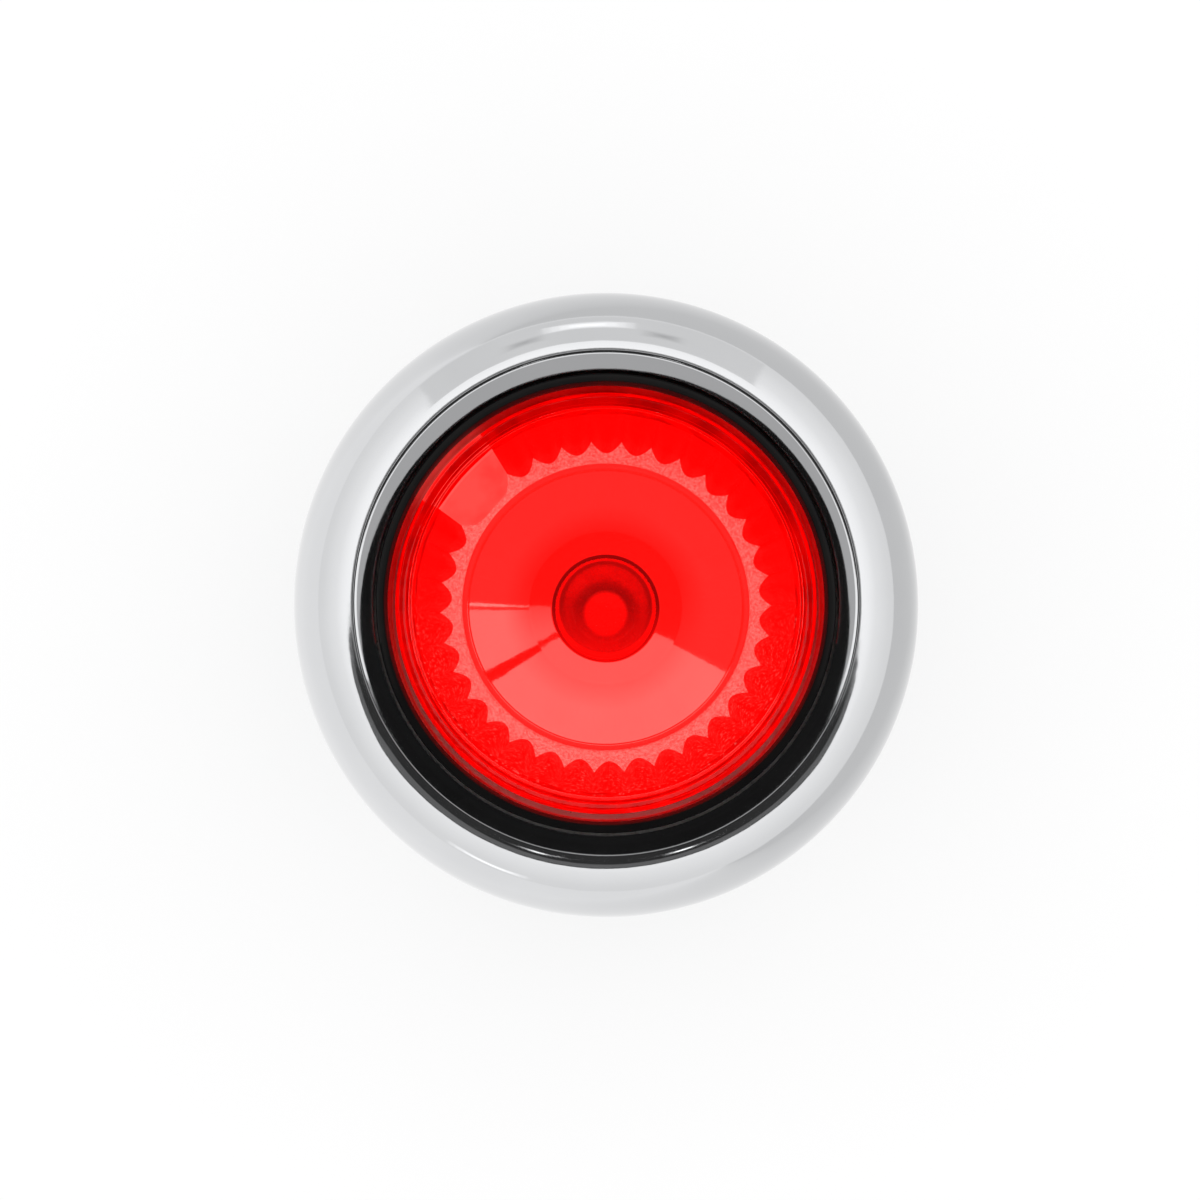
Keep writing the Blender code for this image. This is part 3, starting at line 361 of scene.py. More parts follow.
def made_object(name, made, smooth=True):
    """An object of the finished bmesh, which is freed."""
    mesh = bpy.data.meshes.new(name)
    made.to_mesh(mesh)
    made.free()
    if smooth:
        shade(mesh)
    return link(name, mesh)


def polar(radius, angle):
    return radius * math.cos(angle), radius * math.sin(angle)


def arc(centre, radii, start, end, steps):
    """Points along part of an ellipse, its angles in degrees."""
    angles = [math.radians(start + (end - start) * i / steps) for i in range(steps + 1)]
    return [(centre[0] + radii[0] * math.cos(a), centre[1] + radii[1] * math.sin(a)) for a in angles]


def rounded(corners, radius=0.12 * MM, steps=4, closed=True):
    """The outline with a round at each corner. A corner may be (r, z, its own radius)."""
    found = []
    count = len(corners)
    for i, corner in enumerate(corners):
        here = Vector(corner[:2])
        before, after = Vector(corners[i - 1][:2]) - here, Vector(corners[(i + 1) % count][:2]) - here
        size = corner[2] if len(corner) > 2 else radius
        is_end = not closed and i in (0, count - 1)
        if is_end or size <= 0 or before.angle(after) > math.radians(176):
            found.append(tuple(here))
            continue
        back = min(size / math.tan(before.angle(after) / 2), 0.45 * before.length, 0.45 * after.length)
        first, last = here + before.normalized() * back, here + after.normalized() * back
        for k in range(steps + 1):
            t = k / steps
            found.append(tuple((1 - t) ** 2 * first + 2 * t * (1 - t) * here + t**2 * last))
    return found


def opened(corners, radius=0.12 * MM):
    """The same for an open line, whose two ends stay as they are."""
    return rounded(corners, radius, closed=False)


def braced(profile, closed):
    """The profile with a point close to each end of its long stretches, which keeps them flat when shaded."""
    long, close = mm(0.3, 0.035)
    found = []
    following = profile[1:] + (profile[:1] if closed else [])
    for here, after in zip(profile, following):
        found.append(here)
        first, last = Vector(here), Vector(after)
        if (last - first).length > long:
            step = (last - first).normalized() * close
            found += [tuple(first + step), tuple(last - step)]
    return found if closed else found + profile[-1:]


def lathe(name, profile, steps=160, angles=None, shape=None):
    """Turns (r, z) points round Z, down the outer side and up the inner one.

    A point on the axis closes the profile there. shape(angle, r, z) may move a point.
    """
    angles = angles or [2 * math.pi * i / steps for i in range(steps)]
    made = bmesh.new()
    rings = []
    closed = min(profile[0][0], profile[-1][0]) > 1e-7
    for r, z in braced(profile, closed):
        if r < 1e-7:
            rings.append([made.verts.new((0, 0, z))])
            continue
        ring = []
        for angle in angles:
            radius, height = shape(angle, r, z) if shape else (r, z)
            ring.append(made.verts.new((*polar(radius, angle), height)))
        rings.append(ring)
    for upper, lower in zip(rings, rings[1:] + (rings[:1] if closed else [])):
        if len(upper) == len(lower) == 1:
            continue
        for i in range(len(angles)):
            k = (i + 1) % len(angles)
            if len(upper) == 1:
                made.faces.new((upper[0], lower[i], lower[k]))
            elif len(lower) == 1:
                made.faces.new((upper[i], lower[0], upper[k]))
            else:
                made.faces.new((upper[i], lower[i], lower[k], upper[k]))
    bmesh.ops.recalc_face_normals(made, faces=made.faces)
    return made_object(name, made)


def prism(name, outline, low, high, bevel=0.1 * MM):
    """An (x, y) outline stood up between two heights, with its edges rounded."""
    made = bmesh.new()
    face = made.faces.new([made.verts.new((x, y, low)) for x, y in outline])
    up = bmesh.ops.extrude_face_region(made, geom=[face])["geom"]
    lifted = [part for part in up if isinstance(part, bmesh.types.BMVert)]
    bmesh.ops.translate(made, vec=(0, 0, high - low), verts=lifted)
    bmesh.ops.recalc_face_normals(made, faces=made.faces)
    if bevel:
        edges = [edge for edge in made.edges if edge.calc_face_angle(0) > SHARP]
        settings = {"offset": bevel, "segments": 3, "profile": 0.5, "affect": "EDGES", "clamp_overlap": True}
        bmesh.ops.bevel(made, geom=edges, **settings)
    return made_object(name, made)


def block(name, low, high, bevel=0.1 * MM):
    low, high = Vector(map(min, low, high)), Vector(map(max, low, high))
    outline = [(low.x, low.y), (high.x, low.y), (high.x, high.y), (low.x, high.y)]
    return prism(name, outline, low.z, high.z, bevel)


def disc(name, radius, low, high, at, bevel=0.0):
    """A 24-sided disc round the (x, y) place."""
    sides = 24
    turns = [polar(radius, 2 * math.pi * i / sides) for i in range(sides)]
    return prism(name, [(at[0] + x, at[1] + y) for x, y in turns], low, high, bevel)


def turned_about(obj, degrees, axis="Z"):
    obj.data.transform(Matrix.Rotation(math.radians(degrees), 4, axis))
    return obj


def centred(obj, node):
    """Moves a piece made on the axis to the middle of a CAD node, seen from above."""
    middle = sum(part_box(node), Vector()) / 2
    obj.data.transform(Matrix.Translation((middle.x, middle.y, 0)))
    return obj


def final_mesh(obj):
    """The mesh with the object's modifiers applied."""
    graph = bpy.context.evaluated_depsgraph_get()
    return bpy.data.meshes.new_from_object(obj.evaluated_get(graph))


def baked(obj):
    """Applies the modifiers, so that what follows works on the final mesh."""
    mesh, old = final_mesh(obj), obj.data
    obj.modifiers.clear()
    obj.data = mesh
    bpy.data.meshes.remove(old)
    return obj


def carve(obj, cutters=(), added=()):
    """Adds and then cuts other solids, which are used up."""
    for operation, others in (("UNION", added), ("DIFFERENCE", cutters)):
        for other in others:
            step = obj.modifiers.new(operation, "BOOLEAN")
            step.operation = operation
            step.object = other
    baked(obj)
    for other in (*cutters, *added):
        bpy.data.objects.remove(other)
    shade(obj.data)
    return obj


def softened(node, width, cutters=()):
    """A copy of a CAD node with its flat faces made whole, other solids cut out and its edges rounded."""
    made = bmesh.new()
    made.from_mesh(frame["nodes"][node].data)
    bmesh.ops.remove_doubles(made, verts=made.verts, dist=1e-6)
    bmesh.ops.dissolve_limit(made, angle_limit=math.radians(1.0), verts=made.verts, edges=made.edges)
    obj = made_object("fine_" + node, made, smooth=False)
    if cutters:
        carve(obj, cutters)
    bevel = obj.modifiers.new("edges", "BEVEL")
    bevel.width = width
    bevel.segments = 2
    bevel.limit_method = "ANGLE"
    bevel.angle_limit = math.radians(40)
    bevel.use_clamp_overlap = True
    baked(obj)
    shade(obj.data)
    even = obj.modifiers.new("even_normals", "WEIGHTED_NORMAL")
    even.keep_sharp = True
    return baked(obj)


def extra(obj, name, slot, body=FIXED, finish=None):
    """Puts the piece on its body, with its slot's finish unless another one is given."""
    obj.name = name
    obj.data.materials.clear()
    obj.data.materials.append(finish or FINISHES[slot])
    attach(obj, body)
    return obj


def show(obj, node, slot, body=FIXED):
    """The same for a piece that takes the place of a CAD node."""
    extra(obj, "fine_" + node, slot, body)
    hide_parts(node)
    return obj


def show_softened(node, slot, body=FIXED, width=0.12 * MM, cutters=()):
    show(softened(node, width, cutters), node, slot, body)


def tube_along(name, points, radius):
    """A round wire through the points, as a closed mesh."""
    curve = bpy.data.curves.new(name, "CURVE")
    curve.dimensions = "3D"
    curve.bevel_depth = radius
    curve.bevel_resolution = 3
    curve.use_fill_caps = True
    spline = curve.splines.new("POLY")
    spline.points.add(len(points) - 1)
    for point, place in zip(spline.points, points):
        point.co = (*place, 1)
    obj = link(name, curve)
    made = bmesh.new()
    made.from_mesh(final_mesh(obj))
    bpy.data.objects.remove(obj)
    bmesh.ops.remove_doubles(made, verts=made.verts, dist=1e-7)
    bmesh.ops.recalc_face_normals(made, faces=made.faces)
    return made_object(name, made)


def spring(node, wire, turns, body=FIXED, dead_turns=0.7):
    """A compression spring in its CAD solid's box, with closed ends."""
    low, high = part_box(node)
    centre = (low + high) / 2
    mean = (high.x - low.x) / 2 - wire / 2
    bottom, top = low.z + wire / 2, high.z - wire / 2
    half, closed_rise = (top - bottom) / 2, 1.05 * wire
    steps = 40
    count, closed = round(turns * steps), dead_turns * steps
    points = []
    for i in range(count + 1):
        from_end = min(i, count - i)
        height = closed_rise * min(from_end, closed) / closed
        height += (half - closed_rise) * max(0, from_end - closed) / (count / 2 - closed)
        z = bottom + height if i <= count / 2 else top - height
        x, y = polar(mean, 2 * math.pi * i / steps)
        points.append((centre.x + x, centre.y + y, z))
    return show(tube_along("coil", points, wire / 2), node, "plated_steel", body)


def squashed_by(obj):
    """Gives the spring its own copy of its mesh."""
    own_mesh(obj)


def smooth_step(value, start, end):
    t = min(1.0, max(0.0, (value - start) / (end - start)))
    return t * t * (3 - 2 * t)


def thread_wave(angle, z, pitch):
    """0 at the root and 1 at the crest of a helical thread with flattened crests and roots."""
    phase = (z / pitch - angle / (2 * math.pi)) % 1
    return smooth_step(1 - abs(2 * phase - 1), 0.14, 0.86)


# ---------------------------------------------------------------- head


def bezel_ring():
    """Domed ring: an elliptic outer flank, a tight crest and a slope that steepens towards the lip."""
    low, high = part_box("bezel_ring")
    flank_wide, flank_high, edge, wall = mm(3.1, 4.5, 0.3, 0.8)
    crest, lip, under = high.x - flank_wide, 10.8 * MM, low.z + 1.67 * MM
    foot_in, foot_round = mm(13.82, 0.3)
    slope_top, slope_foot = math.radians(32), math.radians(48)
    dome = arc((crest, high.z - flank_high), (flank_wide, flank_high), 90, 0, 56)
    rim = [dome[-1], (high.x, low.z + foot_round, foot_round), (high.x - foot_round, low.z, 0.2 * MM)]
    rim = opened(rim + [(foot_in, low.z), (foot_in, under)], 0.1 * MM)[1:]
    hollow = arc((crest, high.z - flank_high), (flank_wide - wall, flank_high - wall), 18, 90, 12)
    foot = [(lip + wall, high.z - 1.6 * MM), (lip + wall, under), (lip, under)]
    rounding = arc((crest, high.z - edge), (edge, edge), 90, 90 + math.degrees(slope_top), 12)
    start_r, start_z = rounding[-1]
    radius = (start_r - lip) / (math.sin(slope_foot) - math.sin(slope_top))
    centre = (start_r + radius * math.sin(slope_top), start_z - radius * math.cos(slope_top))
    slope = arc(centre, (radius, radius), 90 + math.degrees(slope_top), 90 + math.degrees(slope_foot), 16)
    inside = (rounding + slope[1:])[:0:-1]
    lip_edge = (lip, inside[0][1] - 0.12 * MM)
    ring = lathe("bezel", dome + rim + hollow + foot + [lip_edge] + inside, 288)
    show(ring, "bezel_ring", "chrome")


def inner_collar():
    """Glossy black guard with a rolled top edge."""
    low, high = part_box("inner_collar")
    outer, bore, lip = high.x, 10.32 * MM, 10.16 * MM
    roll = (lip, high.z - 0.7 * MM, 0.15 * MM), (lip + 0.16 * MM, high.z - 0.2 * MM, 0.2 * MM)
    corners = [(outer, high.z, 0.06 * MM), (outer, low.z), (bore, low.z), *roll]
    show(lathe("collar", rounded(corners, 0.08 * MM, 5), 240), "inner_collar", "gloss_black")


def rib_angles(ribs, key_centre, key_width):
    """Angles that put a vertex on every sharp groove between the ribs, and the pitch of the ribs."""
    pitch = (2 * math.pi - key_width) / ribs
    start = key_centre + key_width / 2
    per_rib, in_key = 14, 26
    angles = [start + pitch * i / per_rib for i in range(ribs * per_rib)]
    angles += [start - key_width + key_width * i / in_key for i in range(in_key)]
    return angles, pitch


def lens_cap():
    """Red button cap: flat face, groove, rounded rim, and an inner wall of half-round ribs and one key."""
    low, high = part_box("lens_cap")
    key_centre, key_width = math.radians(138.5), math.radians(24)
    angles, pitch = rib_angles(32, key_centre, key_width)
    top, foot, underside = high.z, low.z, high.z - 1.3 * MM
    groove_top, groove_foot = mm(9.0, 8.05)
    rib_deep, key_deep = mm(0.57, 0.78)
    rim_r = high.x - 0.22 * MM

    def ribbed(angle, r, z):
        down = min(1.0, max(0.0, (underside - z) / (underside - foot)))
        groove = groove_top + (groove_foot - groove_top) * down
        if z > underside + 0.01 * MM or r > groove + 0.02 * MM or r < 0.1 * MM:
            return r, z
        grown = min(1.0, 0.06 + 1.5 * down)
        past_key = (angle - key_centre - key_width / 2) % (2 * math.pi)
        if past_key > 2 * math.pi - key_width + 1e-6:
            across = 2 * (2 * math.pi - past_key) / key_width - 1
            wall = groove - key_deep * grown * (1 - across**4)
        else:
            across = 2 * (past_key / pitch % 1) - 1
            wall = groove - rib_deep * grown * (1 - across**2)
        return wall * r / groove if r < groove - 1e-9 else wall, z

    face_r, skirt, skirt_foot, small = mm(9.04, 9.35, -1.6, 0.05)
    sleeve, ledge = mm(8.7, 3.4)
    dip = (face_r + 0.12 * MM, top - 0.25 * MM, 0.06 * MM), (face_r + 0.26 * MM, top - 0.14 * MM, 0.08 * MM)
    outside = opened([(0, top), (face_r, top, small), *dip])
    outside += arc((rim_r - 0.42 * MM, top - 0.6 * MM), mm(0.42, 0.46), 84, 0, 16)
    side = [(rim_r, top - 0.9 * MM), (rim_r, ledge, 0.08 * MM), (skirt, ledge, small)]
    end = [(skirt, skirt_foot, small), (sleeve, skirt_foot, small), (sleeve, foot, small)]
    end.append((groove_foot + 0.3 * MM, foot))
    outside += opened(side + end)
    levels = [i / 12 for i in range(12)]
    inside = [(groove_foot + (groove_top - groove_foot) * k, foot + (underside - foot) * k) for k in levels]
    inside.append((groove_top - 0.015 * MM, underside - 0.08 * MM))
    ceiling = [(groove_top * k, underside) for k in (0.985, 0.9, 0.75, 0.5, 0.25)]
    lens = lathe("lens", outside + inside + ceiling + [(0, underside)], angles=angles, shape=ribbed)
    show(lens, "lens_cap", "red_lens", BUTTON)
    # Name, darkest and lightest colour, colour of the painted highlight specks, strength of the painted glow.
    for look in (
        ("red_lens_ribs", (0.55, 0.0, 0.0), (1.0, 0.0, 0.0), (1.0, 0.28, 0.25), 0.6),
        ("red_lens_key", (1.0, 0.2, 0.18), (1.0, 0.3, 0.27), (1.0, 0.3, 0.27), 0.7),
        ("red_lens_ledge", (0.4, 0.0, 0.0), (0.75, 0.0, 0.0), (0.9, 0.05, 0.04), 0.3),
    ):
        lens.data.materials.append(lens_ribs(*look))
    ribs, key, under_rim = 1, 2, 3
    for face in lens.data.polygons:
        centre, normal = face.center, face.normal
        past_key = (math.atan2(centre.y, centre.x) - key_centre + key_width / 2) % (2 * math.pi)
        reach = math.hypot(centre.x, centre.y)
        faces_axis = normal.x * centre.x + normal.y * centre.y < -0.05 * reach
        if normal.z < -0.9 and centre.z < underside - 0.1 * MM:
            face.material_index = under_rim if centre.z > 0 else ribs
        elif faces_axis and centre.z < underside - 0.01 * MM:
            face.material_index = ribs if past_key > key_width else key


def reflector_dish():
    """Bright cone round the LED with a thin raised ring, and a flat flange outside it."""
    low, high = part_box("reflector_dish")
    ring_in, ring_out, flange = 6.68 * MM, 7.0 * MM, high.x
    floor_z, hole, cone_foot = high.z - 0.2 * MM, 2.64 * MM, 3.75 * MM
    under = [(flange, floor_z, 0.06 * MM), (flange, floor_z - 0.5 * MM), (7.3 * MM, floor_z - 0.5 * MM)]
    foot = [(cone_foot, low.z), (hole, low.z), (hole, low.z + 0.5 * MM, 0.08 * MM)]
    cone = [(cone_foot, low.z + 0.7 * MM, 0.12 * MM), (ring_in, floor_z - 0.4 * MM, 0.08 * MM)]
    ring = [(ring_in, high.z, 0.04 * MM), (ring_out, high.z, 0.04 * MM), (ring_out, floor_z, 0.05 * MM)]
    profile = rounded(under + foot + cone + ring, 0.05 * MM)
    show(lathe("dish", profile, 192), "reflector_dish", "bright_reflector", BUTTON)


def led():
    """5 mm LED: epoxy dome with a flange, and inside it the cup that holds the chip."""
    low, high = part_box("led")
    body_r, flange_r, flange_z = 2.5 * MM, 2.9 * MM, low.z + MM
    dome = arc((0, high.z - body_r), (body_r, body_r), 90, 0, 24)
    dome[0] = (0, high.z)
    side = [(body_r, high.z - body_r - 0.5 * MM), (body_r, flange_z, 0.15 * MM)]
    flange = [(flange_r, flange_z, 0.12 * MM), (flange_r, low.z, 0.12 * MM), (0, low.z)]
    show(lathe("led", dome + opened(side + flange), 96), "led", "led_epoxy")
    cup_top = high.z - 4.6 * MM
    cup_r, well_r, post_r, soft = mm(0.82, 0.4, 0.3, 0.03)
    cup_foot, post_foot, well = cup_top - 1.1 * MM, low.z + 0.4 * MM, cup_top - 0.42 * MM
    outside = [(cup_r, cup_top, soft), (cup_r, cup_foot, 0.1 * MM), (post_r, cup_foot), (post_r, post_foot)]
    inside = [(0, post_foot, 0), (0, well, 0), (well_r, well, 0.05 * MM), (cup_r - 0.1 * MM, cup_top, soft)]
    cup = lathe("cup", rounded(outside + inside, 0.04 * MM), 48)
    extra(cup, "led_cup", "plated_steel", finish=led_cup())


def panel_gasket():
    """Rubber ring with two sealing ridges on each face and a notch for the lug."""
    low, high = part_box("panel_gasket")
    outer, bore, ridge = high.x, 11.3 * MM, 0.1 * MM
    bottom, top = low.z + ridge, high.z - ridge

    def ridges(crest, dip):
        """From the outer ridge to the inner one."""
        steps = ((0.45 * MM, dip), (0.2 * MM, crest), (-0.2 * MM, crest), (-0.45 * MM, dip))
        return [(centre + away, z) for centre in mm(13.4, 12.2) for away, z in steps]

    lower, upper = ridges(low.z, bottom), ridges(high.z, top)[::-1]
    corners = [(outer, top), (outer, bottom), *lower, (bore, bottom), (bore, top), *upper]
    ring = lathe("gasket", rounded(corners), 144)
    notch = block("notch", (-1.7 * MM, 10 * MM, -MM), mm(1.7, 13, 2), 0.0)
    show(carve(ring, [notch]), "panel_gasket", "rubber")


def head_barrel():
    """Die-cast barrel with a real helical thread, keyway, lug, bayonet groove and entries."""
    low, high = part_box("head_barrel")
    flange, barrel, pitch, deep = high.x, 11.0 * MM, 1.5 * MM, 0.62 * MM
    flange_z, seat_z, stop_z = mm(1.05, -0.9, -17.4)
    seat, bore, neck = mm(10.3, 9.6, 7.9)
    thread_top, thread_foot = mm(-1.5, -13.7)
    groove_top, groove_foot, groove = mm(-17.0, -18.2, 10.3)
    levels, soft, edge = 150, 0.08 * MM, 0.1 * MM
    profile = [(flange, high.z, 0.15 * MM), (flange, flange_z, 0.15 * MM)]
    profile = opened(profile + [(barrel, flange_z, edge), (barrel, thread_top)])
    profile += [(barrel, thread_top + (thread_foot - thread_top) * i / levels) for i in range(1, levels)]
    bayonet = [(barrel, groove_top, soft), (groove, groove_top), (groove, groove_foot)]
    end = [(barrel, groove_foot, soft), (barrel - 0.3 * MM, low.z, edge), (neck, low.z), (neck, stop_z)]
    mouth = [(bore, stop_z), (bore, seat_z, 0.2 * MM), (seat, seat_z), (seat, high.z, edge)]
    profile += opened([(barrel, thread_foot), *bayonet, *end, *mouth], soft)

    def threaded(angle, r, z):
        if r < barrel - 1e-6 or not thread_foot < z < thread_top:
            return r, z
        fade = smooth_step(thread_top - z, 0, 0.8 * MM) * smooth_step(z - thread_foot, 0, 0.8 * MM)
        return r - fade * deep * (1 - thread_wave(angle, z, pitch)), z

    body = lathe("barrel", profile, 168, shape=threaded)
    added = [block("lug", mm(-1.5, 10.6, -1.4), mm(1.5, 12.7, 1.6), 0.15 * MM)]
    cutters = [block("keyway", mm(-1.6, 10.35, -1.8), mm(1.6, 13, -14))]
    for side in (-1, 1):
        inner, outer = (-0.9 * MM, side * 7.22 * MM), (0.9 * MM, side * 8.2 * MM)
        added.append(block("key", (*inner, low.z + 0.02 * MM), (*outer, stop_z - 0.05 * MM), 0.06 * MM))
    for turn in (-30, 150):
        inner, outer = (groove, -2.7 * MM, groove_foot - 2 * MM), (12 * MM, 2.7 * MM, groove_top - 0.4 * MM)
        cutters.append(turned_about(block("entry", inner, outer), turn))
    show(carve(body, cutters, added), "head_barrel", "zinc")


def lock_nut():
    """Hexagon nut: corners turned off on both faces, bore chamfered."""
    low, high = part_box("lock_nut")
    flats, over = mm(25.2, 0.001)
    corner = flats / math.sqrt(3)
    nut = prism("nut", [polar(corner, math.pi / 3 * i) for i in range(6)], low.z, high.z, 0.25 * MM)
    # The CAD's own corners decide which way the hexagon lies.
    if high.x <= high.y:
        turned_about(nut, 30)
    start, wide, rise = flats / 2 + 0.1 * MM, corner + MM, 0.58
    drop = (wide - start) * rise
    upper = [(0, high.z + over), (start, high.z + over), (wide, high.z - drop)]
    lower = [(wide, low.z + drop), (start, low.z - over), (0, low.z - over)]
    bulk = lathe("bulk", upper + lower, 144)
    chamfer = nut.modifiers.new("corners", "BOOLEAN")
    chamfer.operation, chamfer.object = "INTERSECT", bulk
    baked(nut)
    bpy.data.objects.remove(bulk)
    bore, lead = mm(11.1, 0.5)
    upper = [(0, high.z + MM), (bore + lead + MM, high.z + MM), (bore, high.z - lead)]
    lower = [(bore, low.z + lead), (bore + lead + MM, low.z - MM), (0, low.z - MM)]
    show(carve(nut, [lathe("bore", upper + lower, 144)]), "lock_nut", "zinc")


def flat_ring(name, outer, bore, low, high):
    corners = [(outer, high), (outer, low), (bore, low), (bore, high)]
    return lathe(name, rounded(corners), 144)


def locating_washer():
    low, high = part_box("locating_washer")
    ring = flat_ring("washer", high.x, 11.15 * MM, low.z, high.z)
    inset = 0.01 * MM
    tab = block("tab", (-1.3 * MM, 10.5 * MM, low.z + inset), (1.3 * MM, 11.8 * MM, high.z - inset))
    show(carve(ring, added=[tab]), "locating_washer", "plated_steel")


def seal_and_spring():
    low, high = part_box("carrier_seal")
    half_wide, half_tall = mm(0.3, 0.45)
    section = arc((high.x - half_wide, (low.z + high.z) / 2), (half_wide, half_tall), 90, -262, 22)
    show(lathe("seal", section, 128), "carrier_seal", "rubber", BUTTON)
    made = spring("return_spring", 0.6 * MM, 5.2, dead_turns=0.9)
    squashed_by(made)


for build in (bezel_ring, inner_collar, lens_cap, reflector_dish, led, panel_gasket):
    build()
for build in (head_barrel, lock_nut, locating_washer, seal_and_spring):
    build()


# ---------------------------------------------------------------- behind the panel


def clip_and_carrier():
    hole = 0.35 * MM
    holes = [disc("hole", hole, -21 * MM, -19 * MM, (side * 4.2 * MM, 6.7 * MM)) for side in (-1, 1)]
    show_softened("retaining_clip", "plated_steel", BUTTON, 0.08 * MM, holes)
    show_softened("button_carrier", "black_plastic", BUTTON, 0.1 * MM)


def base_cover():
    """Plate over the latch ring, with an arrow-shaped mark for each latch position."""
    low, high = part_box("base_cover")
    outer, bore = high.x, 11.25 * MM
    profile = [(outer, high.z, 0.5 * MM), (outer, low.z, 0.1 * MM), (bore, low.z), (bore, high.z, 0.25 * MM)]
    plate = lathe("cover", rounded(profile, 0.1 * MM), 160)
    tip, tail, half = mm(13.9, 12.5, 0.6)
    marks = []
    for turn in (-75, -105):
        mark = prism("mark", [(tip, 0), (tail, half), (tail, -half)], high.z - 0.2 * MM, high.z + MM, 0)
        marks.append(turned_about(mark, turn))
    show(carve(plate, marks), "base_cover", "black_plastic")


def base_body():
    """Round housing with grip flutes, the lever's slot and the two arms that hold the blocks."""
    low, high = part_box("base_body")
    outer, bottom, floor_z = mm(14.5, -24.4, -20.1)
    bore, cup, soft = mm(9.4, 13.1, 0.1)
    profile = [(outer, high.z, soft), (outer, bottom, 0.45 * MM), (bore, bottom, 0.2 * MM)]
    profile += [(bore, floor_z, soft), (cup, floor_z, soft), (cup, high.z, soft)]
    body = lathe("base", rounded(profile), 200)
    arms, cutters = [], []
    arm_x, arm_out, inner, panel_x = mm(5.6, 14.1, 13.05, 3.9)
    for side in (-1, 1):
        # Name, half width, near and far Y on the positive side, bottom, top, rounding.
        for name, x, near, far, foot, top, edge in (
            ("root", arm_x, 12 * MM, arm_out, bottom + 0.2 * MM, -21 * MM, 0.15 * MM),
            ("arm", arm_x, inner, arm_out, low.z, -23 * MM, 0.2 * MM),
            ("hook", arm_x, 12.5 * MM, inner + 0.2 * MM, low.z, -28.1 * MM, 0.12 * MM),
            ("panel", panel_x, 13.85 * MM, 16 * MM, low.z + 1.3 * MM, bottom - 0.9 * MM, 0.12 * MM),
        ):
            solid = block(name, (-x, side * near, foot), (x, side * far, top), edge)
            (cutters if name == "panel" else arms).append(solid)
    grip_step, grip_r, grip_at = 5.5, 0.55 * MM, 14.75 * MM
    for side in (0, 180):
        for i in range(-4, 5):
            at = polar(grip_at, math.radians(side + i * grip_step))
            cutters.append(disc("grip", grip_r, bottom + 1.4 * MM, high.z - 1.6 * MM, at, 0.12 * MM))
    cutters.append(block("slot", (-7.3 * MM, -11.5 * MM, floor_z), (7.3 * MM, -16 * MM, high.z + MM), 0))
    show(carve(body, cutters, arms), "base_body", "black_plastic")


def latch_ring():
    """Bayonet ring with two teeth, and the thumb pad that comes out of the base's slot."""
    low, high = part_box("latch_ring")
    ring = flat_ring("ring", 12.8 * MM, 11.3 * MM, low.z, high.z)
    added = []
    for side in (-1, 1):
        inner, outer = (side * 10.45 * MM, -2.2 * MM, -18.05 * MM), (side * 11.9 * MM, 2.2 * MM, -17.15 * MM)
        added.append(block("tooth", inner, outer, 0.12 * MM))
    pad = [block("pad", mm(12.3, -2.4, -19.7), mm(14.7, 2.4, -16.7), 0.3 * MM)]
    half_rib = 0.36 * MM
    for y in (-1.5 * MM, 0, 1.5 * MM):
        inner, outer = (14.4 * MM, y - half_rib, -19.5 * MM), (15.1 * MM, y + half_rib, -16.9 * MM)
        pad.append(block("rib", inner, outer, 0.2 * MM))
    added += [turned_about(part, -75) for part in pad]
    show(carve(ring, added=added), "latch_ring", "lever_plastic", "latch")


def screw(node):
    """Combined slot and cross screw with a domed head and a real thread, head downwards."""
    low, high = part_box(node)
    head_r, shank_r, pitch, head_top = 1.9 * MM, 1.25 * MM, 0.5 * MM, low.z + 2.2 * MM
    levels, thread_deep = 84, 0.2 * MM
    start, end = high.z - 0.25 * MM, head_top + 0.2 * MM
    profile = [(0, high.z), (shank_r - 0.3 * MM, high.z)]
    profile += [(shank_r, start + (end - start) * i / levels) for i in range(levels + 1)]
    head = [(head_r, head_top, 0.1 * MM), (head_r, low.z + 0.5 * MM, 0.4 * MM)]
    profile += opened([(shank_r, head_top), *head, (head_r - 0.7 * MM, low.z, 0.5 * MM), (0, low.z)])

    def threaded(angle, r, z):
        if abs(r - shank_r) > 1e-6 or z < end or z > start:
            return r, z
        fade = smooth_step(z - end, 0, 0.3 * MM) * smooth_step(start - z, 0, 0.2 * MM)
        return r - thread_deep * fade * (1 - thread_wave(angle, z, pitch)), z

    made = lathe(node, profile, 40, shape=threaded)
    deep, half, cross = low.z + 0.95 * MM, 0.24 * MM, 1.05 * MM
    deeper = deep + 0.35 * MM
    sizes = ((2.5 * MM, 0.3 * MM, deep), (cross, half, deeper), (half, cross, deeper))
    cuts = [block("slot", (-x, -y, low.z - MM), (x, y, z), 0) for x, y, z in sizes]
    turned = {"front": 18, "rear": -34}[node.split("_")[-1]]
    return centred(carve(made, [turned_about(cut, turned) for cut in cuts]), node)


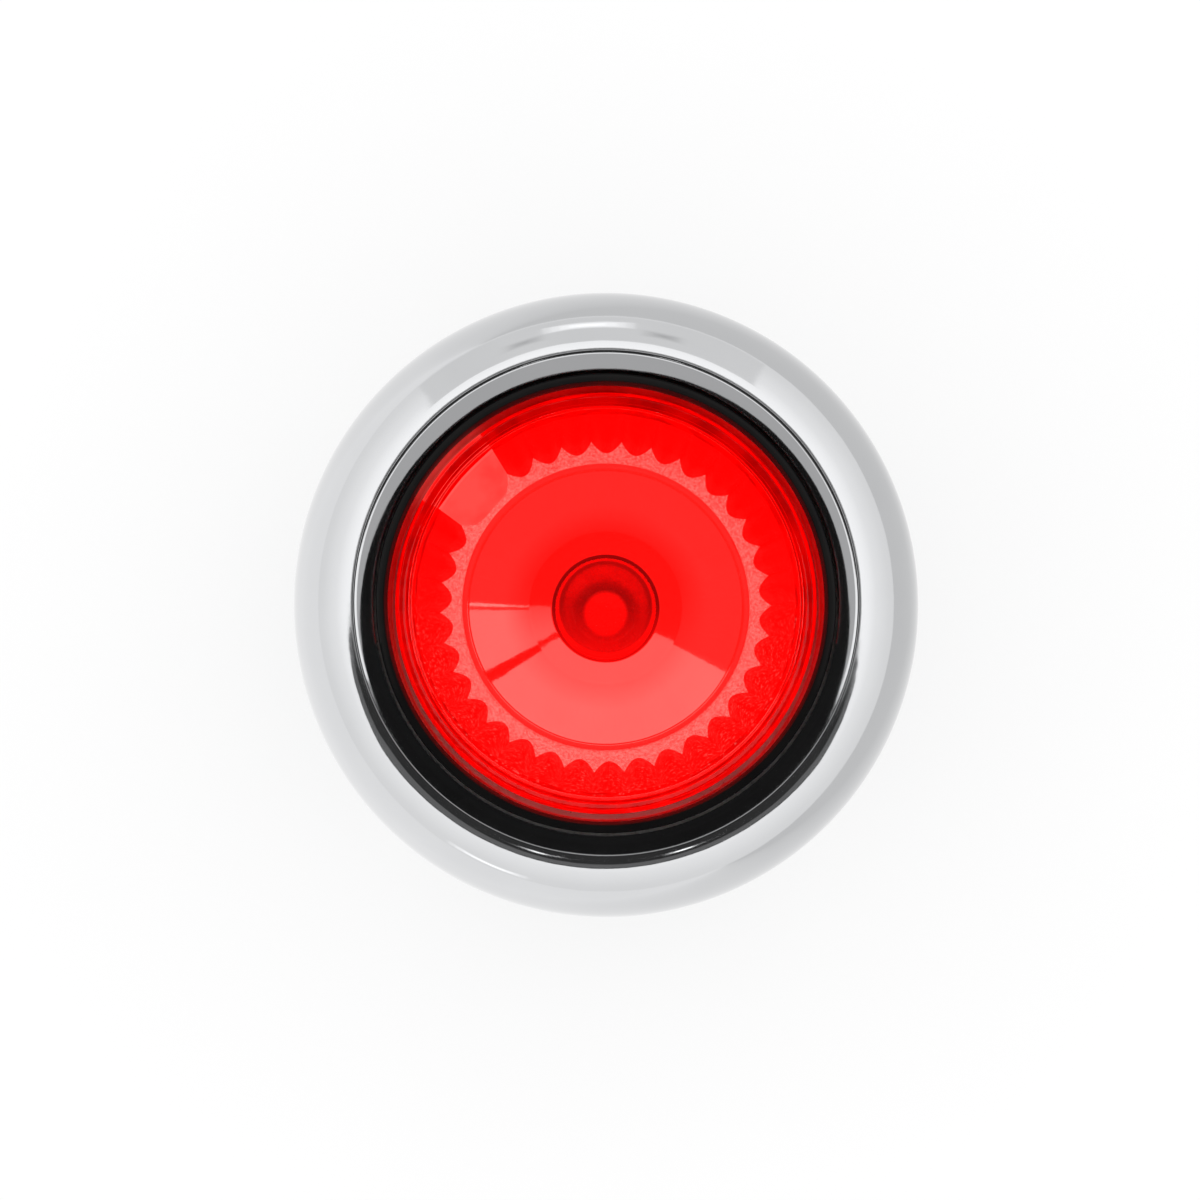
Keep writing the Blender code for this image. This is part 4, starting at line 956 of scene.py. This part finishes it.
def block_details(prefix):
    """Cutters that dress a housing: funnels round the wire ports, finger grooves and screw chamfers."""
    low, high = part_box(f"{prefix}_housing")
    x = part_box(f"{prefix}_screw_front")[0].x + 1.9 * MM
    port_half, groove_half, groove_tall = mm(2.3, 2.2, 0.5)
    inner, outer, above, below = 2.05 * MM, 2.7 * MM, low.z + 0.3 * MM, low.z - 0.35 * MM
    cutters = []
    for side, end in ((-1, "front"), (1, "rear")):
        face = side * high.y + side * MM
        port = (x - port_half, side * 12.45 * MM, -41.8 * MM), (x + port_half, face, -38.3 * MM)
        cutters.append(block("funnel", *port, 0.15 * MM))
        for i in range(4):
            z = -36.6 * MM + 1.3 * MM * i
            groove = (x - groove_half, side * 12.62 * MM, z), (x + groove_half, face, z + groove_tall)
            cutters.append(block("groove", *groove))
        chamfer = lathe("chamfer", [(0, above), (inner, above), (outer, below), (0, below)], 48)
        cutters.append(centred(chamfer, f"{prefix}_screw_{end}"))
    return cutters


def side_cover(prefix):
    """Smoke cover with two recessed windows and the bar between them."""
    low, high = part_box(f"{prefix}_cover")
    outwards = MM if high.x > 0 else -MM
    face = high.x if high.x > 0 else low.x
    dip, near, far, frame_wide = face - 0.3 * outwards, low.y + 1.2 * MM, high.y - 1.2 * MM, 1.3 * MM
    cutters = [
        block("window", (dip, near, bottom), (face + outwards, far, top), 0.12 * MM)
        for bottom, top in ((-33.5 * MM, high.z - frame_wide), (low.z + frame_wide, -34.6 * MM))
    ]
    show_softened(f"{prefix}_cover", "clear_smoke_cover", FIXED, 0.15 * MM, cutters)


def contact_blocks():
    for prefix, slot, bridge_body in (
        ("no", "green_plastic", "no_bridge_body"),
        ("nc", "red_plastic", "nc_plunger_body"),
    ):
        show_softened(f"{prefix}_housing", "grey_plastic", cutters=block_details(prefix))
        side_cover(prefix)
        show_softened(f"{prefix}_plunger", slot, f"{prefix}_plunger_body")
        show_softened(f"{prefix}_bridge", "brass", bridge_body, 0.08 * MM)


def contact_springs():
    """Return springs and contact springs; the return springs and the normally open contact spring get their
    own copies of their meshes.
    """
    for prefix, turns in (("no", 7.5), ("nc", 4.2)):
        node = f"{prefix}_return_spring"
        squashed_by(spring(node, 0.35 * MM, turns))
    for prefix in ("no", "nc"):
        node = f"{prefix}_contact_spring"
        made = spring(node, 0.3 * MM, 4.5, f"{prefix}_plunger_body")
        if prefix == "no":
            squashed_by(made)


def lamp_parts():
    show_softened("lamp_housing", "grey_plastic", cutters=block_details("lamp"))
    show_softened("lamp_cover", "grey_plastic")
    show_softened("lamp_board", "circuit_board", FIXED, 0.05 * MM)
    low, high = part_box("lamp_resistor")
    half, cap_r, waist, soft = (high.x - low.x) / 2, 0.9 * MM, 0.76 * MM, 0.3 * MM
    cap_end, waist_end = half - 1.0 * MM, half - 1.3 * MM
    profile = [(0, half), (cap_r, half, soft), (cap_r, cap_end, soft), (waist, waist_end, soft)]
    profile += [(waist, -waist_end, soft), (cap_r, -cap_end, soft), (cap_r, -half, soft), (0, -half)]
    body = turned_about(lathe("resistor", opened(profile), 48), 90, "Y")
    body.data.transform(Matrix.Translation((low + high) / 2))
    show(body, "lamp_resistor", "resistor")
    wire_r, board, foot = 0.25 * MM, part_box("lamp_board")[0].z, 0.75 * MM
    solder = [(0, board), (foot, board), (foot, board - 0.02 * MM), (0.38 * MM, board - 0.2 * MM)]
    solder += [(0.27 * MM, board - 0.4 * MM), (0, board - 0.45 * MM)]
    for end in ("anode", "cathode"):
        node = f"led_lead_{end}"
        low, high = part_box(node)
        section = [(0, high.z), (wire_r, high.z), (wire_r, low.z, 0.12 * MM), (0, low.z)]
        wire = lathe(node, opened(section, 0.03 * MM), 32)
        show(centred(wire, node), node, "plated_steel")
        extra(centred(lathe("solder", solder, 40), node), f"solder_{end}", "plated_steel")


def terminals():
    for prefix in ("no", "nc", "lamp"):
        for end in ("front", "rear"):
            show_softened(f"{prefix}_terminal_{end}", "brass", FIXED, 0.06 * MM)
            show_softened(f"{prefix}_clamp_{end}", "plated_steel", FIXED, 0.15 * MM)
            node = f"{prefix}_screw_{end}"
            show(screw(node), node, "plated_steel")


for build in (clip_and_carrier, base_cover, base_body, latch_ring):
    build()
for build in (contact_blocks, contact_springs, lamp_parts, terminals):
    build()


# ---------------------------------------------------------------- studio


def emitter(name, radiance):
    """A plain white light."""
    made = bpy.data.materials.new(name)
    made.use_nodes = True
    made.node_tree.nodes.clear()
    light = add_node(made.node_tree, "Emission", {"Color": (1, 1, 1, 1), "Strength": radiance})
    add_node(made.node_tree, "OutputMaterial", {"Surface": light.outputs[0]})
    made.cycles.emission_sampling = "NONE"
    return made


def on_sky(azimuth, zenith, radius):
    a, z = math.radians(azimuth), math.radians(zenith)
    return Vector((math.sin(z) * math.cos(a), math.sin(z) * math.sin(a), math.cos(z))) * radius


def card(name, rows, radiance, ray="glossy"):
    """A studio card made of rows of points, which lights only one kind of ray."""
    made = bmesh.new()
    grid = [[made.verts.new(point) for point in row] for row in rows]
    for upper, lower in zip(grid, grid[1:]):
        for i in range(len(upper) - 1):
            made.faces.new((upper[i], lower[i], lower[i + 1], upper[i + 1]))
    obj = made_object(name, made, smooth=False)
    obj.data.materials.append(emitter(name, radiance))
    for kind in ("camera", "diffuse", "glossy", "transmission", "volume_scatter", "shadow"):
        setattr(obj, "visible_" + kind, kind == ray)
    return obj


def sky_card(name, azimuths, zeniths, radiance, ray="glossy", radius=1.0):
    """A patch of a dome between two azimuths and two zenith angles, in degrees."""
    across, down = 24, 12
    rows = []
    for k in range(down + 1):
        zenith = zeniths[0] + (zeniths[1] - zeniths[0]) * k / down
        steps = [azimuths[0] + (azimuths[1] - azimuths[0]) * i / across for i in range(across + 1)]
        rows.append([on_sky(azimuth, zenith, radius) for azimuth in steps])
    card(name, rows, radiance, ray)


def soft_card(name, azimuths, zeniths, edge, middle):
    """Five cards one inside another, so that the reflection fades from its edge to its middle."""
    layers = 5
    for i in range(layers):
        inset = 0.5 * i / layers
        spans = [(a + (b - a) * inset, b - (b - a) * inset) for a, b in (azimuths, zeniths)]
        radiance = edge + (middle - edge) * (i + 1) / layers
        sky_card(f"{name}_{i}", *spans, radiance, radius=0.93 - 0.005 * i)


def floor():
    """Plain pale floor that the part stands on; it lights the part's underside a little."""
    made = Finish("pale_floor")
    clouds = made.noise(0.05, 3)
    colour = made.mixed(clouds, (0.34, 0.34, 0.34), (0.36, 0.36, 0.36))
    made.done(colour, made.spread(clouds, 0.85, 0.95), specular=0.0, glow=(1, 1, 1, 1), strength=0.6)
    half = 4.0
    mesh = bpy.data.meshes.new("floor")
    corners = [(-half, -half, 0), (half, -half, 0), (half, half, 0), (-half, half, 0)]
    mesh.from_pydata(corners, [], [(0, 1, 2, 3)])
    obj = link("floor", mesh)
    obj.location.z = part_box("no_housing")[0].z - 0.05 * MM
    mesh.materials.append(made.material)
    obj.visible_glossy = False
    mirrored = card("mirrored_floor", [[(-half, y, 0), (half, y, 0)] for y in (half, -half)], 1.0)
    mirrored.location.z = obj.location.z
    shaded_floor(mirrored.data.materials[0])


def shaded_floor(material):
    """Makes the floor that the chrome mirrors a little darker on its right, as under a window at the left."""
    tree = material.node_tree
    place, direction = add_node(tree, "TexCoord").outputs["Object"], (*polar(1, math.radians(25)), 0)
    along = add_node(tree, "VectorMath", {0: place, 1: direction}, operation="DOT_PRODUCT")
    reach, left, right = 60 * MM, 1.12, 0.8
    ends = {"From Min": -reach, "From Max": reach, "To Min": left, "To Max": right}
    fade = add_node(tree, "MapRange", {"Value": along.outputs["Value"], **ends})
    light = next(node for node in tree.nodes if node.type == "EMISSION")
    tree.links.new(fade.outputs[0], light.inputs["Strength"])


def world():
    """White studio dome, a little brighter overhead than at the horizon."""
    made = bpy.data.worlds.new("studio")
    bpy.context.scene.world = made
    made.use_nodes = True
    tree = made.node_tree
    place = add_node(tree, "TexCoord").outputs["Generated"]
    height = add_node(tree, "SeparateXYZ", {0: place}).outputs["Z"]
    share = add_node(tree, "MapRange", {"Value": height, "From Min": -1}).outputs[0]
    ramp = add_node(tree, "ValToRGB", {"Fac": share})
    overhead = 1.45
    stops = ((0.0, 0.85), (0.37, 1.0), (0.6, 1.06), (0.84, 1.2), (1.0, overhead))
    colours = ramp.color_ramp.elements
    colours[0].position, colours[1].position = stops[0][0], stops[-1][0]
    for position, _ in stops[1:-1]:
        colours.new(position)
    for element, (position, radiance) in zip(colours, stops):
        element.position = position
        element.color = (*[radiance / overhead] * 3, 1)
    background = tree.nodes["Background"]
    tree.links.new(ramp.outputs["Color"], background.inputs["Color"])
    background.inputs["Strength"].default_value = overhead


def curtain(name, radius, foot, heights, radiance):
    """A card that stands in a circle round the axis and hides part of the dome from what is beside it.

    heights are (azimuth in degrees, height in mm), joined by straight lines.
    """
    rows = [[], []]
    for degrees in range(heights[0][0], heights[-1][0] + 1, 2):
        for (start, first), (end, last) in zip(heights, heights[1:]):
            if start <= degrees <= end:
                tall = first + (last - first) * (degrees - start) / (end - start)
                break
        x, y = polar(radius, math.radians(degrees))
        rows[0].append((x, y, foot))
        rows[1].append((x, y, foot + (tall + 0.01) * MM))
    card(name, rows, radiance)


def curtains():
    """Two round the bezel's crest, for its inner slope, and a low one round the lower half of the collar."""
    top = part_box("bezel_ring")[1]
    crest, foot = top.x - 3.09 * MM, top.z + 0.01 * MM
    right, left = ((0, 9), (22, 14), (36, 150), (140, 150)), ((155, 13), (180, 6.5), (225, 4))
    front = ((262, 0), (315, 0.5), (338, 4), (360, 9))
    curtain("dark_curtain", crest, foot, right + left + front, 0.008)
    curtain("grey_curtain", crest + 0.03 * MM, foot, ((0, 16), (360, 16)), 0.56)
    collar, rim_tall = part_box("inner_collar")[1], 0.77
    between = (collar.x + 10.3 * MM) / 2
    curtain("rim_shade", between, collar.z + 0.02 * MM, ((190, rim_tall), (350, rim_tall)), 0.01)


def front_shade():
    """Long dark shape on the camera's side, which the crest mirrors, with a paler band and a dark edge."""
    reach = ((168, 2), (190, 28), (212, 41), (250, 38), (290, 36), (325, 39), (345, 26), (362, 6))
    top, steps = 0.5, 8
    for name, grow, radiance, radius in (
        ("front_shade", 0.72, 0.035, 0.90),
        ("front_shade_band", 0.93, 0.17, 0.93),
        ("front_shade_edge", 1.0, 0.09, 0.95),
    ):
        rows = [[], []]
        for (start, first), (end, last) in zip(reach, reach[1:]):
            for i in range(steps):
                azimuth = start + (end - start) * i / steps
                zenith = (first + (last - first) * i / steps) * grow
                rows[0].append(on_sky(azimuth, top, radius))
                rows[1].append(on_sky(azimuth, max(2 * top, zenith), radius))
        card(name, rows, radiance)


def cards():
    """Cards for the reflections: dark ones on the camera's side, pale ones elsewhere."""
    sky_card("camera_shade", (0, 360), (0, 9), 0.03, radius=0.88)
    sky_card("camera_shade_edge", (0, 360), (9, 12), 0.4, radius=0.89)
    for azimuth in (254, 289):
        sky_card(f"glint_{azimuth}", (azimuth - 2.5, azimuth + 2.5), (17.5, 20.5), 2.2, radius=0.87)
    front_shade()
    sky_card("rear_flag", (57, 130), (30, 88), 0.93, radius=0.98)
    soft_card("rear_softbox", (84, 103), (62, 77), 1.0, 1.75)
    for azimuth in (78, 107):
        soft_card(f"rear_smudge_{azimuth}", (azimuth - 5, azimuth + 5), (46, 64), 0.98, 0.62)
    soft_card("left_softbox", (236, 254), (82, 88), 1.05, 1.9)
    # The rest are seen only through clear pieces: name, azimuths, zenith angles, radiance, radius.
    for name, azimuths, zeniths, radiance, radius in (
        ("lens_key", (3, 150), (12, 88), 1.75, 0.95),
        ("lens_shade", (150, 363), (36, 88), 0.22, 0.95),
        ("lens_front_shade", (150, 363), (9, 36), 0.03, 0.94),
        ("lens_top", (0, 360), (0, 12), 0.15, 0.96),
        ("lens_stand", (29.4, 35), (8, 86), 0.0, 0.9),
        ("lens_strip", (0, 1.2), (30, 80), 3.0, 0.9),
    ):
        sky_card(name, azimuths, zeniths, radiance, "transmission", radius)


def camera():
    """The photograph's view: almost straight down the button's axis, from slightly below it."""
    distance, tilt, across = 175 * MM, math.radians(1.5), 55.35 * MM
    data = bpy.data.cameras.new("camera")
    data.sensor_width = 36
    aim = Vector((-0.28 * MM, 0.1 * MM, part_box("bezel_ring")[1].z))
    data.lens = data.sensor_width * distance / across
    data.clip_start, data.clip_end = 0.01, 20
    obj = link("camera", data)
    obj.location = aim + Vector((0, -math.sin(tilt), math.cos(tilt))) * distance
    obj.rotation_euler = (tilt, 0, 0)
    bpy.context.scene.camera = obj


for build in (world, floor, curtains, cards, camera):
    build()
bpy.context.scene.view_settings.view_transform = "Standard"
